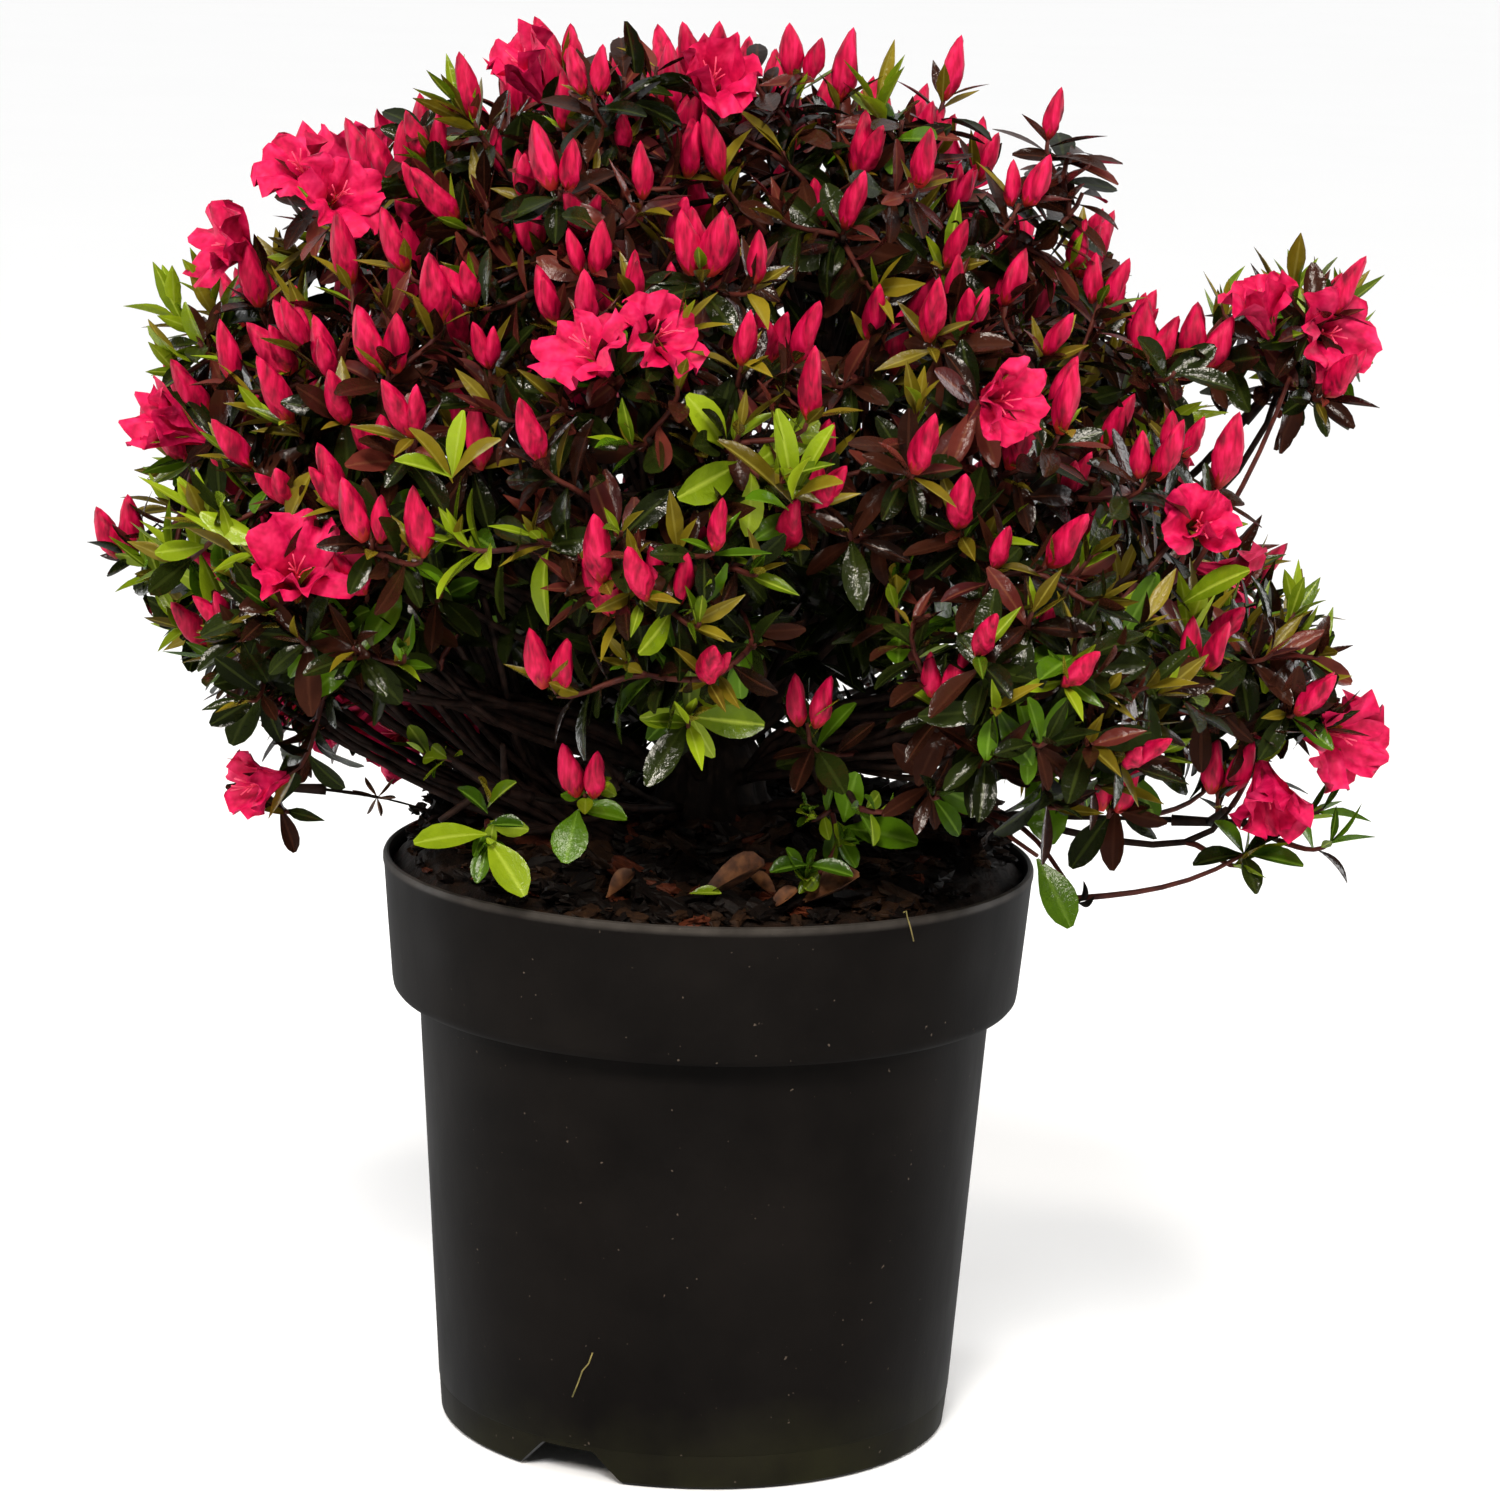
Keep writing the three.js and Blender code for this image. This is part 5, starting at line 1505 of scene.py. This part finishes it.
compost_skin = finish("Composted_bark", ["#0A0604", "#170E08", "#26170E"], 4, 0.7, bump=0.8, bump_mm=1.5,
                      shift_mm=1.0, detail=6.0, shine=0.25)
own(make_compost(), compost_skin, ["compost"])


def make_chip(seed):
    """A flake of bark one long, rough on all sides."""
    deselect()
    bpy.ops.mesh.primitive_cube_add(size=1, location=(0, 0, 0))
    chip = bpy.context.object
    bpy.ops.object.mode_set(mode="EDIT")
    bpy.ops.mesh.subdivide(number_cuts=2)
    bpy.ops.transform.vertex_random(offset=0.17, uniform=1.0, normal=0, seed=seed)
    bpy.ops.transform.resize(value=(1, 0.55, 0.3), center_override=(0, 0, 0))
    bpy.ops.object.mode_set(mode="OBJECT")
    return model_of(chip)


CHIP_REACH = 107  # millimetres from the axis
chip_models = [make_chip(seed) for seed in (2, 5, 9)]
chip_kinds = {  # finish, its shades, and how many
    "chips_black": ("Wet_bark_chip", ["#080504", "#160E0A"], 700),
    "chips_brown": ("Brown_bark_chip", ["#1E120B", "#332012"], 400),
    "chips_red": ("Red_pine_bark_chip", ["#3E1A0F", "#5E2C18"], 100),
}
for name, (finish_name, shades, count) in chip_kinds.items():
    radius = CHIP_REACH * np.sqrt(rng.random(count))
    turn = rng.random(count) * 6.283
    x, y = radius * np.cos(turn), radius * np.sin(turn)
    size = rng.uniform(4, 9, count) * rng.uniform(0.9, 1.9, count) * np.where(radius > 98, 0.6, 1)
    heap = 10 * smooth(np.abs(x), 62, 98) * smooth(-y, 100, 60) * rng.random(count)
    place = np.stack([x, y, compost_height(x, y) + 0.12 * size + heap], axis=1)
    tilt = unit(np.stack([rng.normal(0, 0.35, count), rng.normal(0, 0.35, count), np.ones(count)], axis=1))
    across, other = square_to(tilt, rng.random(count) * 6.283)
    parts = [set_out(model, place[k::3], across[k::3] * size[k::3, None], other[k::3] * size[k::3, None],
                     tilt[k::3] * size[k::3, None]) for k, model in enumerate(chip_models)]
    own(joined(name, parts, smooth=False), finish(finish_name, shades, 3, 0.6, bump=0.6, bump_mm=1.0,
                                                  shift_mm=0.4, shine=0.25))

# %% [markdown]
# A few things have dropped on the compost: withered brown leaves, curled at their edges, black shreds that
# hang at the rim, and bits of straw. Small withered leaves still cling to the thin drooping bough. They use
# the old leaf, folded hard, and thin tubes.

# %% Litter
WITHERED = [  # foot on the compost, the way it points, length and width
    (-4, -86, 0.9, -0.2, 0.2, 28, 16), (28, -88, 1.0, 0.1, 0.15, 25, 14), (20, -96, 0.7, 0.6, 0.15, 13, 7),
    (-34, -84, 0.6, 0.8, 0.2, 14, 8), (70, -72, -0.4, 0.9, 0.2, 12, 7), (24, -80, -0.9, 0.3, 0.3, 12, 8),
]
withered_rows, shred_rows = [], []
for x, y, *way, length, width in WITHERED:
    along = unit(way)
    normal = square_part(np.array([0.0, -0.5, 1.0]), along)
    withered_rows.append((x, y, compost_height(x, y) + 2.5, *along, *normal, length, width, 0.9, -0.35))
for k in range(7):
    along = unit(rng.normal(0, 1, 3) - UP * 0.6)
    normal = unit(np.cross(along, rng.normal(0, 1, 3)))
    shred_rows.append((126, -66, 205, *along, *normal, rng.uniform(5, 10), 3.5, 1.2, 0.5))
drooping = next(bough for bough in boughs if bough.name == "left_drooping")
for share, count in ((0.58, 4), (0.86, 6)):
    knot = drooping.curve.at(share * drooping.end) + UP * sag(share)
    for turn in np.arange(count) * FULL_TURN / count + 0.4:
        along = unit([math.cos(turn), -0.3, math.sin(turn)] + rng.normal(0, 0.25, 3))
        normal = unit(np.cross(along, [0.3, 1.0, 0.2]))
        withered_rows.append((*knot, *along, *normal, rng.uniform(6, 10), 2.8, 0.9, -0.3))
leaf_piece("withered_leaves", [laid_leaves(old_leaf, withered_rows)],
           finish("Withered_leaf", ["#2A150A", "#56321A", "#7A4E2C"], 5, 0.6, bump=0.6, bump_mm=1.5))
leaf_piece("black_shreds", [laid_leaves(old_leaf, shred_rows)],
           finish("Rotted_leaf", ["#0A0706", "#1C1410"], 3, 0.6, bump=0.5))


def straw_line(turns, heights, radius):
    """A straw on the pot's wall or lip, from azimuths in degrees and heights."""
    return np.array([polar(turn, radius, height) for turn, height in zip(turns, heights)])


straws = [straw_line((244.0, 245.2, 246.2, 247.6, 248.4), (30, 35, 40, 43, 47), 94.4),
          straw_line((304.6, 305.2, 305.4, 306.2, 307.0), (206.5, 206.8, 205.0, 201.0, 196.0), 115.6)]
STRAW_RADIUS = 0.28
own(joined("straws", [tubes(straws, np.full((2, 5), STRAW_RADIUS), 5)]),
    finish("Dry_straw", ["#5E5A2A", "#8A7A45"], 3, 0.7))
